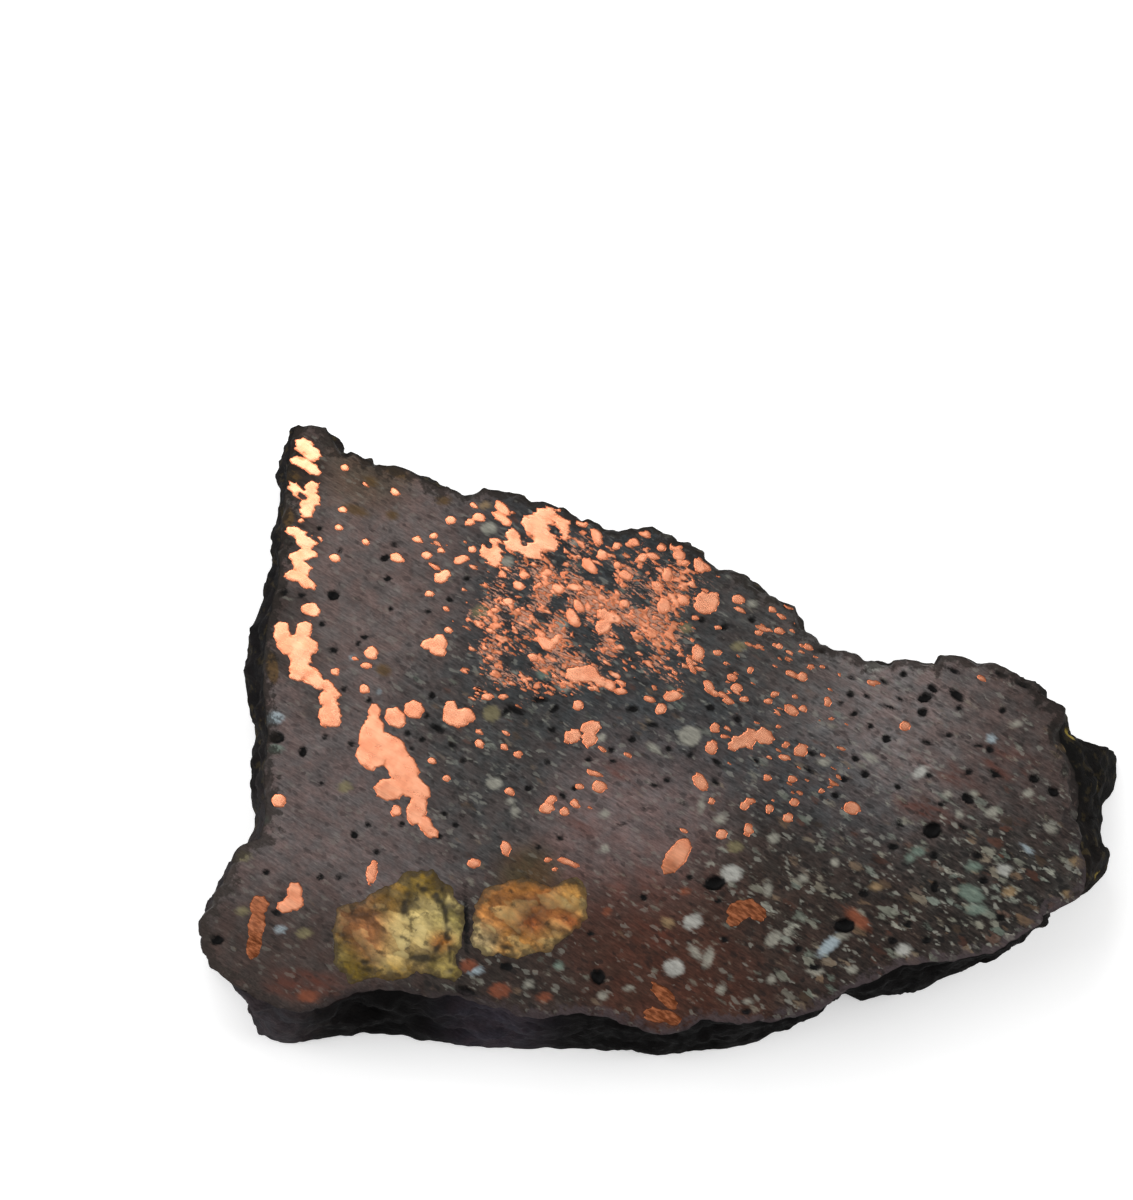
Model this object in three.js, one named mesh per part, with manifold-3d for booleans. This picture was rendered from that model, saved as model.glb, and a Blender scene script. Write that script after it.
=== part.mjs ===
// A sawn slab of vesicular basalt that carries native copper.
// The stone was broken to its outline and sawn through twice, so it has a flat face above and below
// and a rough broken wall all round. Old gas bubbles and cracks in it were filled by copper, and two
// larger ones by yellow and amber calcite, and the saw cut all of them flush with the face.
// Units are millimetres, +Z is up, and the slab lies on its lower saw cut.
import * as THREE from "three";
import { mergeVertices } from "three/addons/utils/BufferGeometryUtils.js";
import Module from "manifold-3d";

const wasm = await Module();
wasm.setup();

// Driving dimensions
const THICKNESS = 12; // from saw cut to saw cut
const SEAM = 0.3; // clear seam between the stone and each filling
const FILL_DEPTH = 1.3; // a filling's depth below the face, as a share of its half width
const PIT_DEPTH = 0.9; // an empty bubble's depth, as a share of its half width
const MIDDLE = { x: 1.0, y: 3.3 }; // middle of the slab in the outline's own coordinates

// The broken wall: heights of its rows, how it curves from foot to face, and how rough it is
const WALL_ROWS = [0, 3, 6.4, 9.8, THICKNESS];
const WALL_CURVE = 1.3;
const WALL_ROUGHNESS = 0.75;
const WALL_LUMP = { along: 4.2, up: 2.6 };

// Edge of the upper face, clockwise from the top left tip, in four runs
const FACE_EDGE = {
  far: [
    [-40.1, 37.5], [-39.5, 38.2], [-37.8, 37.9], [-36.6, 37.8], [-36.1, 36.7], [-35.6, 35.8],
    [-34.8, 34.8], [-34.1, 34.5], [-33.5, 34.9], [-32.8, 34.5], [-32.1, 33.9], [-31.5, 33.8],
    [-31.0, 33.1], [-30.2, 32.8], [-28.9, 32.9], [-27.8, 32.6], [-26.7, 32.0], [-25.6, 31.2],
    [-23.9, 30.3], [-22.9, 30.2], [-22.1, 29.9], [-21.2, 29.4], [-20.0, 29.5], [-19.0, 30.1],
    [-17.8, 29.9], [-16.6, 30.0], [-15.1, 29.7], [-14.4, 29.0], [-13.7, 28.6], [-12.4, 28.5],
    [-11.3, 27.9], [-9.1, 26.9], [-7.9, 26.4], [-7.4, 26.7], [-6.6, 26.2], [-5.9, 25.4],
    [-4.8, 25.0], [-3.1, 25.1], [-0.4, 25.4], [0.3, 25.0], [1.2, 24.7], [2.1, 23.6],
    [3.3, 23.5], [4.3, 22.5], [5.1, 22.0], [5.8, 21.2], [6.6, 20.5], [8.0, 20.5],
    [9.2, 19.7], [11.2, 18.3], [12.1, 17.3], [13.1, 16.9], [15.0, 15.9], [15.6, 14.6],
    [16.1, 13.1], [16.9, 12.6], [17.6, 11.5], [18.7, 10.8], [20.2, 10.5], [21.4, 10.2],
    [22.2, 9.4], [24.0, 9.1], [25.0, 9.0], [25.8, 9.6], [27.4, 9.5], [29.9, 9.0],
    [30.7, 9.9], [32.8, 9.9], [34.4, 9.4], [36.0, 9.2], [37.6, 8.3], [39.1, 7.6],
    [40.4, 7.1], [41.0, 6.2], [41.5, 5.2], [42.6, 4.5], [43.7, 3.8],
  ],
  right: [
    [43.6, 2.3], [42.8, 1.3], [42.9, 0.2], [43.5, -1.2], [44.2, -2.8], [44.6, -5.0],
    [44.5, -7.0], [44.1, -9.0], [44.8, -10.8], [44.3, -12.4], [45.0, -14.0], [44.9, -15.8],
    [44.2, -17.6],
  ],
  near: [
    [43.0, -18.3], [41.1, -19.3], [40.0, -19.9], [39.7, -21.0], [37.7, -22.1], [36.0, -23.2],
    [34.6, -24.1], [33.2, -24.4], [30.2, -24.9], [27.5, -25.2], [25.0, -25.5], [23.8, -26.2],
    [22.4, -27.0], [20.9, -27.6], [19.3, -28.1], [18.2, -28.8], [17.2, -29.6], [16.4, -30.2],
    [14.2, -30.9], [11.4, -31.4], [8.6, -31.8], [6.0, -31.6], [4.2, -31.4], [2.9, -32.2],
    [1.4, -32.7], [-0.2, -33.0], [-1.6, -32.6], [-3.0, -32.0], [-4.8, -31.3], [-6.6, -30.9],
    [-8.8, -30.7], [-11.0, -31.0], [-13.2, -31.2], [-15.2, -30.7], [-17.4, -29.9], [-19.6, -29.2],
    [-21.4, -28.7], [-23.4, -29.0], [-25.0, -28.5], [-27.0, -28.1], [-29.5, -27.9], [-31.6, -28.2],
    [-33.4, -28.9], [-35.2, -30.0], [-37.2, -30.5], [-39.4, -30.2], [-41.2, -29.4],
  ],
  left: [
    [-42.6, -28.5], [-43.8, -28.1], [-45.6, -26.8], [-47.1, -25.4], [-47.4, -24.6], [-48.0, -23.6],
    [-48.1, -22.2], [-48.3, -20.4], [-48.0, -19.6], [-47.0, -18.6], [-46.9, -17.2], [-45.8, -15.9],
    [-45.4, -14.3], [-45.0, -13.4], [-44.5, -12.3], [-43.2, -11.5], [-42.2, -10.9], [-41.9, -9.6],
    [-41.8, -7.6], [-42.0, -5.2], [-42.2, -3.0], [-41.9, -1.0], [-41.9, 2.0], [-42.2, 4.0],
    [-42.5, 6.0], [-42.6, 8.5], [-42.5, 11.0], [-42.3, 13.5], [-41.9, 15.5], [-41.6, 17.3],
    [-41.3, 19.0], [-41.2, 21.2], [-41.3, 22.6], [-41.1, 25.0], [-41.0, 27.4], [-40.8, 30.0],
    [-40.7, 32.0], [-40.6, 34.2], [-40.5, 36.0], [-40.4, 36.8],
  ],
};

// Foot of the wall on the lower saw cut, in the same four runs
const FOOT_EDGE = {
  far: [
    [-42.0, 38.3], [-39.5, 39.6], [-36.8, 39.0], [-34.5, 36.2], [-30.5, 34.3], [-27.5, 33.6],
    [-23.5, 31.4], [-20.5, 30.4], [-17.0, 31.2], [-14.0, 29.9], [-9.5, 28.0], [-5.5, 26.4],
    [-1.0, 26.4], [3.0, 24.6], [6.5, 21.6], [9.0, 20.8], [12.5, 18.0], [16.6, 14.6],
    [18.8, 11.8], [23.0, 10.4], [27.0, 10.4], [31.0, 10.9], [35.0, 10.4], [40.0, 8.6],
    [43.3, 6.6], [45.6, 5.6],
  ],
  right: [
    [46.8, 5.0], [50.6, 3.3], [50.3, 1.2], [49.6, -1.2], [48.6, -2.4], [48.4, -4.6],
    [48.0, -7.0], [48.7, -9.0], [47.2, -11.6], [45.4, -13.2],
  ],
  near: [
    [43.6, -14.0], [42.0, -14.8], [40.6, -16.2], [38.4, -18.0], [36.0, -19.7], [34.5, -20.7],
    [30.5, -22.5], [29.2, -23.5], [24.9, -24.3], [20.9, -24.8], [19.9, -24.2], [18.8, -24.6],
    [17.4, -26.4], [14.8, -27.3], [11.0, -29.3], [8.2, -30.2], [4.8, -30.2], [-1.1, -31.0],
    [-4.4, -30.6], [-9.4, -30.5], [-18.1, -30.4], [-22.4, -29.9], [-27.6, -28.8], [-32.6, -28.6],
    [-37.0, -29.4], [-40.2, -30.1], [-42.2, -29.2],
  ],
  left: [
    [-42.8, -28.4], [-43.2, -25.8], [-44.6, -24.2], [-46.4, -22.6], [-47.8, -20.8], [-48.6, -18.4],
    [-48.6, -16.0], [-47.6, -14.2], [-46.8, -12.0], [-45.6, -9.0], [-44.4, -7.0], [-43.6, -5.0],
    [-43.8, -1.0], [-44.0, 3.0], [-44.2, 6.5], [-45.2, 10.2], [-45.6, 12.8], [-45.2, 16.5],
    [-44.1, 21.3], [-43.1, 24.8], [-42.9, 28.3], [-42.4, 32.5], [-42.1, 36.0],
  ],
};

// Each filling is a group of bubble lobes that ran together.
// A lobe is its centre on the face, its half length, its half width and its turn in degrees.
const COPPER_LOBES = {
  copper_vein_tip: [[-38.8, 35.3, 1.0, 0.8, -35], [-37.9, 34.4, 1.1, 0.75, -40]],
  copper_vein_1: [[-39.0, 33.1, 1.4, 0.55, -25], [-37.9, 32.4, 0.9, 0.55, -35]],
  copper_vein_2: [
    [-39.5, 29.9, 1.1, 0.6, -50], [-38.0, 29.9, 1.1, 0.65, 60], [-37.9, 28.7, 1.0, 0.85, -60],
    [-38.4, 27.6, 1.0, 0.75, -75],
  ],
  copper_vein_3: [
    [-39.4, 24.7, 1.1, 0.6, -15], [-38.6, 23.6, 1.5, 0.65, -55], [-37.6, 23.7, 1.0, 0.6, 10],
    [-38.6, 21.9, 1.4, 0.75, 10], [-38.7, 20.5, 1.1, 0.85, -30], [-39.4, 19.4, 1.2, 0.6, -10],
    [-38.1, 18.6, 1.4, 0.55, -40],
  ],
  copper_vein_4: [[-37.6, 15.35, 1.0, 0.65, -20]],
  copper_vein_5: [
    [-40.6, 12.4, 1.6, 0.9, -80], [-39.6, 11.0, 1.6, 1.0, -35], [-38.3, 12.9, 1.2, 0.8, 60],
    [-38.2, 11.4, 1.6, 0.8, -30], [-38.6, 9.7, 1.3, 1.1, -50], [-38.8, 8.0, 1.0, 0.7, -70],
    [-37.3, 7.5, 1.9, 0.8, -50], [-35.2, 6.0, 1.3, 0.5, -48], [-35.6, 4.7, 1.0, 0.8, -70],
    [-35.2, 3.0, 1.6, 1.1, 90],
  ],
  copper_tongue: [
    [-30.5, 3.2, 1.1, 0.6, 90], [-30.7, 0.8, 2.0, 1.2, 75], [-30.6, -1.6, 1.7, 1.6, 90],
    [-28.5, -1.0, 2.3, 1.3, -50], [-27.4, -3.2, 2.1, 1.5, -55], [-28.7, -5.7, 1.6, 1.2, -10],
    [-26.3, -5.4, 2.2, 1.2, -30], [-25.8, -8.0, 1.7, 1.0, 80], [-24.6, -9.9, 1.5, 0.6, -50],
  ],
  copper_bead_1: [[-28.2, 2.6, 1.25, 0.95, -50]],
  copper_bead_2: [[-26.2, 3.6, 1.05, 0.95, -35]],
  copper_heart_1: [[-24.6, 11.3, 1.0, 0.6, 10], [-23.6, 11.5, 1.0, 0.75, 90], [-23.8, 10.6, 0.9, 0.6, -30]],
  copper_heart_2: [[-22.3, 3.2, 1.4, 0.75, 90], [-21.4, 2.6, 1.1, 1.0, -20], [-20.6, 2.9, 0.9, 0.75, -25]],
  copper_north_patch: [
    [-12.4, 26.8, 1.5, 0.8, 15], [-13.8, 25.6, 1.2, 0.8, -60], [-12.4, 25.2, 1.7, 1.4, -60],
    [-12.4, 23.6, 1.8, 1.3, -30], [-13.6, 22.4, 1.3, 0.9, -60], [-10.5, 25.5, 1.5, 0.5, -68],
    [-10.7, 26.3, 1.3, 0.4, -30],
  ],
  copper_north_lump: [[-18.0, 21.8, 1.3, 1.0, -50], [-17.5, 22.9, 1.0, 0.5, -60]],
  copper_north_sliver: [[-15.7, 24.1, 1.3, 0.7, -60], [-15.4, 22.9, 1.2, 0.7, -35]],
  copper_centre_patch: [[-5.4, 14.6, 1.1, 0.7, -30], [-5.8, 13.4, 1.0, 0.7, 60]],
  copper_east_patch: [[5.0, 16.2, 1.2, 1.0, 70], [5.9, 16.4, 1.1, 0.8, 80], [5.4, 15.5, 1.0, 0.6, 0]],
  copper_south_patch: [[-8.6, 7.7, 1.2, 1.0, 20], [-7.5, 7.7, 1.2, 1.0, -30], [-6.3, 6.9, 1.0, 0.45, -30]],
  copper_east_cluster: [[8.4, -0.3, 1.1, 0.7, 35], [9.8, 0.3, 1.1, 0.75, 85], [11.2, 0.4, 1.0, 0.9, -40]],
  copper_pair: [[-7.3, 1.4, 1.0, 0.6, 20], [-7.5, 0.2, 0.9, 0.7, 80]],
  copper_bud: [[-9.2, 0.4, 0.95, 0.7, 30]],
  copper_bar: [[1.7, -13.3, 2.3, 1.0, 57]],
  copper_kidney: [[8.6, -19.2, 1.7, 1.0, 15], [7.8, -20.2, 1.1, 0.7, 60], [10.1, -19.6, 1.0, 0.8, -50]],
  copper_drip: [[-42.1, -18.8, 1.0, 0.9, 90], [-42.3, -21.0, 1.6, 0.8, 82], [-42.5, -23.2, 1.5, 0.65, 82]],
  copper_hook: [[-38.4, -17.3, 1.1, 0.75, 90], [-39.2, -18.8, 1.0, 0.7, 20], [-38.2, -18.5, 0.9, 0.6, 60]],
  copper_rim_sliver: [[0.3, -28.8, 1.8, 0.7, -52]],
  copper_rim_lump: [[-0.7, -30.9, 1.1, 0.75, -20], [0.8, -31.2, 1.1, 0.6, -20]],
};

// The two calcite nodules, by their outlines on the face
const NODULE_OUTLINE = {
  yellow_nodule: [
    [-34.1, -21.5], [-33.6, -19.5], [-32.8, -18.5], [-31.0, -18.3], [-29.5, -17.0], [-28.0, -16.5],
    [-27.0, -15.5], [-25.2, -14.8], [-24.0, -15.3], [-23.2, -16.3], [-22.0, -17.2], [-21.0, -19.0],
    [-20.8, -21.0], [-20.9, -23.0], [-21.3, -24.5], [-21.1, -26.2], [-21.7, -27.0], [-22.8, -26.8],
    [-24.0, -26.3], [-25.5, -26.1], [-26.5, -27.0], [-28.0, -27.2], [-28.8, -26.8], [-30.0, -26.4],
    [-31.0, -27.0], [-32.2, -27.2], [-33.3, -26.4], [-34.0, -25.0], [-34.2, -23.0],
  ],
  amber_nodule: [
    [-19.7, -22.0], [-19.5, -20.5], [-19.0, -18.5], [-18.3, -17.0], [-16.5, -16.3], [-14.5, -16.0],
    [-12.5, -16.4], [-11.0, -16.6], [-9.9, -15.8], [-8.7, -15.9], [-8.0, -17.0], [-7.9, -18.5],
    [-8.0, -20.0], [-8.8, -21.2], [-9.8, -22.0], [-10.6, -23.0], [-11.5, -24.0], [-12.8, -23.6],
    [-14.0, -24.3], [-15.5, -25.0], [-17.0, -24.4], [-18.3, -24.6], [-19.2, -23.8],
  ],
};
// A nodule's rows from above the face to its round bottom: height from the face, and share of the outline
const NODULE_ROWS = [
  { rise: 1.0, share: 1.0 }, { rise: 0.0, share: 1.0 }, { rise: -2.0, share: 0.93 },
  { rise: -4.2, share: 0.66 }, { rise: -5.4, share: 0.25 },
];

// Bubbles that stayed empty, as lobes
const EMPTY_BUBBLES = [
  [-35.2, 17.1, 0.75, 0.65, 0], [-29.7, 21.6, 0.55, 0.4, 0], [-31.1, 4.7, 0.6, 0.4, 0],
  [-32.3, -10.8, 0.5, 0.45, 90], [-46.4, -22.6, 0.8, 0.6, 0], [-23.3, -11.0, 0.55, 0.4, -40],
  [-38.0, -1.3, 0.6, 0.5, 90], [-22.6, 16.6, 0.5, 0.35, -20], [-2.8, 3.7, 0.7, 0.4, 0],
  [5.5, 3.8, 0.5, 0.4, 0], [7.2, 13.4, 0.5, 0.45, 0], [20.6, 5.4, 0.5, 0.4, -20],
  [28.6, 5.0, 0.85, 0.6, 20], [29.5, 6.1, 0.7, 0.45, -40], [28.3, 3.3, 0.6, 0.55, 0],
  [24.3, 0.2, 0.5, 0.5, 0], [20.9, -2.1, 0.5, 0.45, 0], [21.9, -3.9, 0.5, 0.5, 0],
  [35.3, -1.0, 0.5, 0.45, 90], [39.8, -4.4, 0.65, 0.5, -20], [41.8, -5.9, 0.7, 0.55, -40],
  [25.4, -5.3, 0.45, 0.4, 0], [32.7, -6.7, 0.8, 0.55, -30], [18.7, -6.3, 0.5, 0.4, 0],
  [28.8, -10.3, 1.1, 0.95, 20], [19.2, -21.0, 1.2, 0.85, 0], [24.6, -12.2, 0.6, 0.4, 0],
  [28.8, -16.7, 0.7, 0.5, 90], [34.0, -16.0, 0.6, 0.4, 0], [21.3, -17.4, 0.6, 0.4, -20],
  [24.2, -22.7, 0.5, 0.4, 0], [16.0, -25.6, 0.7, 0.4, 0], [5.7, -16.3, 1.2, 0.85, 15],
  [-6.6, -26.7, 0.95, 0.8, -60], [-1.8, -17.9, 0.45, 0.4, 0], [-13.9, -5.5, 0.45, 0.4, 0],
  [-5.1, -1.1, 0.45, 0.4, 0], [-2.9, 0.1, 0.5, 0.4, 0], [-16.2, -25.6, 0.8, 0.45, -15],
];

const STONE_FINISH = new THREE.MeshStandardMaterial({ color: 0x4a4240, roughness: 0.75, metalness: 0 });
const COPPER_FINISH = new THREE.MeshStandardMaterial({ color: 0xe89a72, roughness: 0.4, metalness: 1 });
const NODULE_FINISH = {
  yellow_nodule: new THREE.MeshStandardMaterial({ color: 0xa3905c, roughness: 0.55, metalness: 0 }),
  amber_nodule: new THREE.MeshStandardMaterial({ color: 0x97693f, roughness: 0.55, metalness: 0 }),
};

// Cutting and joining
const toSolid = (geometry) => {
  const bare = geometry.index ? geometry.toNonIndexed() : geometry.clone();
  bare.deleteAttribute("normal");
  bare.deleteAttribute("uv");
  const merged = mergeVertices(bare, 1e-4);
  return new wasm.Manifold(
    new wasm.Mesh({
      numProp: 3,
      vertProperties: new Float32Array(merged.attributes.position.array),
      triVerts: new Uint32Array(merged.index.array),
    }),
  );
};

const toMesh = (name, solid, finish) => {
  const { vertProperties, triVerts } = solid.getMesh();
  const geometry = new THREE.BufferGeometry();
  geometry.setAttribute("position", new THREE.BufferAttribute(vertProperties, 3));
  geometry.setIndex(new THREE.BufferAttribute(triVerts, 1));
  geometry.computeVertexNormals();
  const mesh = new THREE.Mesh(geometry, finish);
  mesh.name = name;
  return mesh;
};

// Roughness of the broken wall: a smooth noise on a lattice, from -1 to 1
const latticeValue = (i, j) => {
  const wave = Math.sin(i * 127.1 + j * 311.7) * 43758.5453;
  return 2 * (wave - Math.floor(wave)) - 1;
};
const smooth = (t) => t * t * (3 - 2 * t);
const lump = (along, up) => {
  const i = Math.floor(along);
  const j = Math.floor(up);
  const u = smooth(along - i);
  const v = smooth(up - j);
  const low = THREE.MathUtils.lerp(latticeValue(i, j), latticeValue(i + 1, j), u);
  const high = THREE.MathUtils.lerp(latticeValue(i, j + 1), latticeValue(i + 1, j + 1), u);
  return THREE.MathUtils.lerp(low, high, v);
};

// Share of a run's length at each of its points
const lengthShares = (run) => {
  const travelled = [0];
  for (let i = 1; i < run.length; i++) {
    const step = Math.hypot(run[i][0] - run[i - 1][0], run[i][1] - run[i - 1][1]);
    travelled.push(travelled[i - 1] + step);
  }
  return travelled.map((d) => d / travelled.at(-1));
};

const pointAtShare = (run, shares, share) => {
  const next = Math.max(1, shares.findIndex((s) => s >= share - 1e-9));
  const t = (share - shares[next - 1]) / (shares[next] - shares[next - 1]);
  return [0, 1].map((axis) => THREE.MathUtils.lerp(run[next - 1][axis], run[next][axis], t));
};

// The foot's point under each point of the face's edge, run by run
const faceLoop = [];
const footLoop = [];
for (const side of Object.keys(FACE_EDGE)) {
  const footShares = lengthShares(FOOT_EDGE[side]);
  const faceShares = lengthShares(FACE_EDGE[side]);
  FACE_EDGE[side].forEach((point, i) => {
    faceLoop.push(new THREE.Vector2(...point));
    footLoop.push(new THREE.Vector2(...pointAtShare(FOOT_EDGE[side], footShares, faceShares[i])));
  });
}

// The broken block between the saw cuts: rows of points from foot to face, closed by two flat caps
const brokenBlock = () => {
  const count = faceLoop.length;
  const travelled = [0];
  faceLoop.forEach((p, i) => travelled.push(travelled[i] + p.distanceTo(faceLoop[(i + 1) % count])));
  const positions = [];
  WALL_ROWS.forEach((height) => {
    const share = (height / THICKNESS) ** WALL_CURVE;
    const freedom = 4 * (height / THICKNESS) * (1 - height / THICKNESS);
    faceLoop.forEach((face, i) => {
      const point = footLoop[i].clone().lerp(face, share);
      const before = faceLoop[(i + count - 1) % count];
      const after = faceLoop[(i + 1) % count];
      const outward = new THREE.Vector2(before.y - after.y, after.x - before.x).normalize();
      const rough = lump(travelled[i] / WALL_LUMP.along, height / WALL_LUMP.up);
      point.addScaledVector(outward, WALL_ROUGHNESS * freedom * rough);
      positions.push(point.x, point.y, height);
    });
  });
  const faces = [];
  for (let row = 0; row < WALL_ROWS.length - 1; row++) {
    for (let i = 0; i < count; i++) {
      const a = row * count + i;
      const b = row * count + ((i + 1) % count);
      faces.push(a, a + count, b, b, a + count, b + count);
    }
  }
  const top = (WALL_ROWS.length - 1) * count;
  for (const corners of THREE.ShapeUtils.triangulateShape(faceLoop, [])) {
    faces.push(...corners.map((corner) => top + corner));
  }
  for (const corners of THREE.ShapeUtils.triangulateShape(footLoop, [])) {
    faces.push(...corners.reverse());
  }
  const geometry = new THREE.BufferGeometry();
  geometry.setAttribute("position", new THREE.Float32BufferAttribute(positions, 3));
  geometry.setIndex(faces);
  return geometry;
};

// One bubble lobe: an ellipsoid centred on the face, grown by a margin, with more sides on a larger one
const LEAST_SIDES = 6;
const LOBE_ROWS = 4;
const lobeSolid = ([x, y, long, short, turn], depthShare, margin) => {
  const ball = new THREE.SphereGeometry(1, Math.round(LEAST_SIDES + long), LOBE_ROWS);
  ball.rotateX(Math.PI / 2);
  ball.scale(long + margin, short + margin, short * depthShare + margin);
  ball.rotateZ(THREE.MathUtils.degToRad(turn));
  ball.translate(x, y, THICKNESS);
  return toSolid(ball);
};

const joined = (lobes, depthShare, margin) =>
  lobes.map((lobe) => lobeSolid(lobe, depthShare, margin)).reduce((a, b) => a.add(b));

// A nodule: its outline in rows that shrink towards its middle, capped above and below, grown by a margin
const noduleSolid = (outline, margin) => {
  const points = outline.map(([x, y]) => new THREE.Vector2(x, y));
  const middle = points.reduce((sum, p) => sum.add(p), new THREE.Vector2()).divideScalar(points.length);
  const count = points.length;
  const positions = [];
  NODULE_ROWS.forEach(({ rise, share }) => {
    points.forEach((point) => {
      const spoke = point.clone().sub(middle);
      const place = middle.clone().addScaledVector(spoke, share + margin / spoke.length());
      positions.push(place.x, place.y, THICKNESS + rise - (rise < 0 ? margin : 0));
    });
  });
  const top = NODULE_ROWS.length * count;
  const bottom = top + 1;
  positions.push(middle.x, middle.y, positions[2]);
  positions.push(middle.x, middle.y, positions.at(-4));
  const faces = [];
  for (let i = 0; i < count; i++) {
    const next = (i + 1) % count;
    const last = (NODULE_ROWS.length - 1) * count;
    faces.push(top, next, i, bottom, last + i, last + next);
    for (let row = 0; row < NODULE_ROWS.length - 1; row++) {
      const a = row * count + i;
      const b = row * count + next;
      faces.push(a, b, a + count, b, b + count, a + count);
    }
  }
  const geometry = new THREE.BufferGeometry();
  geometry.setAttribute("position", new THREE.Float32BufferAttribute(positions, 3));
  geometry.setIndex(faces);
  return toSolid(geometry);
};

const belowFace = toSolid(new THREE.BoxGeometry(300, 300, THICKNESS).translate(0, 0, THICKNESS / 2));

const slab = new THREE.Group();
slab.name = "copper_slab";
slab.position.set(-MIDDLE.x, -MIDDLE.y, 0);

let stone = toSolid(brokenBlock());
for (const lobe of EMPTY_BUBBLES) stone = stone.subtract(lobeSolid(lobe, PIT_DEPTH, 0));

const fillings = [
  ...Object.entries(COPPER_LOBES).map(([name, lobes]) => ({
    name,
    finish: COPPER_FINISH,
    solid: (margin) => joined(lobes, FILL_DEPTH, margin),
  })),
  ...Object.entries(NODULE_OUTLINE).map(([name, outline]) => ({
    name,
    finish: NODULE_FINISH[name],
    solid: (margin) => noduleSolid(outline, margin),
  })),
];
for (const { name, finish, solid } of fillings) {
  stone = stone.subtract(solid(SEAM));
  slab.add(toMesh(name, solid(0).intersect(belowFace), finish));
}
slab.add(toMesh("stone", stone, STONE_FINISH));

export default slab;
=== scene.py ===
import bpy
import numpy as np
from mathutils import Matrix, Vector


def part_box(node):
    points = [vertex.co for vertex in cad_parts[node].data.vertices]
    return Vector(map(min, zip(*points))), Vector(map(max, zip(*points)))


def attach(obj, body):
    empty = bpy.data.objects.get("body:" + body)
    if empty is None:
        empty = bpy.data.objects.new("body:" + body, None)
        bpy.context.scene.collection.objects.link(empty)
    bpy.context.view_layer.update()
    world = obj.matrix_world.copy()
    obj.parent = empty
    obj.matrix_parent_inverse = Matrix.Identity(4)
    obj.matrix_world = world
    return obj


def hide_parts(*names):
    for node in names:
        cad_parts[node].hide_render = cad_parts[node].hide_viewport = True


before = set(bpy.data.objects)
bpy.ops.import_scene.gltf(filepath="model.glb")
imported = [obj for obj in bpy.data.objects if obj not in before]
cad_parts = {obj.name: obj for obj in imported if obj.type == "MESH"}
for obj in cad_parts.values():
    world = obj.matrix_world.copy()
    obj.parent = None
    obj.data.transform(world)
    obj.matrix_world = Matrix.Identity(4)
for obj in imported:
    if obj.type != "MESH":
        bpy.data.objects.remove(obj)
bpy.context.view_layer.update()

# The stone
# One slab of basalt, full of old gas bubbles. It was broken to its outline and sawn through twice, so its
# two faces are flat with fine saw marks, and its wall is a rough, weathered fracture.
MM = 0.001
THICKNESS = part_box("stone")[1][2] / MM
MIDDLE = np.array([1.0, 3.3])  # place of the frame's origin in the face's own plan, which is in mm
SAW_TURN = np.radians(-34)  # direction of the saw marks in the plan
COLUMNS, ROWS, WALL_STEPS = 350, 205, 22

# Corners of the outline, from the near left one round by the right, on the upper face and on the lower
FACE_CORNERS = [(-42.6, -28.5), (44.2, -17.6), (43.7, 3.8), (-40.1, 37.5)]
FOOT_CORNERS = [(-42.8, -28.4), (45.4, -13.2), (45.6, 5.6), (-42.0, 38.3)]


def paint(red, green, blue):
    """A colour as the shaders take it, from its screen values of 0 to 255: the sRGB curve undone."""
    screen = np.array([red, green, blue]) / 255
    linear = np.where(screen < 0.04045, screen / 12.92, ((screen + 0.055) / 1.055) ** 2.4)
    return np.append(linear, 1.0)


def lattice(i, j, k):
    """A fixed value from 0 to 1 at each lattice point: the fraction left over from a large sine."""
    wave = np.sin(i * 127.1 + j * 311.7 + k * 74.7) * 43758.5453
    return wave - np.floor(wave)


def noise(x, y, z=0.0):
    """Smooth noise from -1 to 1: the eight lattice values around a point, blended on an S-curve each way."""
    places = [np.asarray(t, float) for t in (x, y, z)]
    cells = [np.floor(t) for t in places]
    shares = [(t - c) ** 2 * (3 - 2 * (t - c)) for t, c in zip(places, cells)]
    total = 0.0
    for corner in np.ndindex(2, 2, 2):
        weight = 1.0
        for share, side in zip(shares, corner):
            weight = weight * (share if side else 1 - share)
        total = total + weight * lattice(*(c + side for c, side in zip(cells, corner)))
    return 2 * total - 1


def rims(node, height):
    """The closed rims of a solid's flat side at a height, in the plan, each as a ring of points.

    An edge of that side that only one of its triangles has lies on a rim, and leads to the next such edge.
    """
    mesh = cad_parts[node].data
    mesh.calc_loop_triangles()
    places = np.empty(3 * len(mesh.vertices), np.float32)
    mesh.vertices.foreach_get("co", places)
    corners = np.empty(3 * len(mesh.loop_triangles), np.int32)
    mesh.loop_triangles.foreach_get("vertices", corners)
    points, merged = np.unique(np.round(places.reshape(-1, 3) / MM, 3), axis=0, return_inverse=True)
    triangles = merged.ravel()[corners].reshape(-1, 3)
    triangles = triangles[(np.abs(points[triangles][:, :, 2] - height) < 0.002).all(axis=1)]
    pairs = {(a, b) for t in triangles.tolist() for a, b in zip(t, t[1:] + t[:1])}
    following = {a: b for a, b in sorted(pairs) if (b, a) not in pairs}
    rings = []
    while following:
        ring = [next(iter(following))]
        while ring[-1] in following:
            ring.append(following.pop(ring[-1]))
        rings.append(points[ring[:-1], :2] + MIDDLE)
    return rings


def ring_area(ring):
    """Area inside a ring: half the sum of the cross products of its neighbouring points."""
    return 0.5 * np.sum(np.cross(ring, np.roll(ring, -1, axis=0)))


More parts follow.
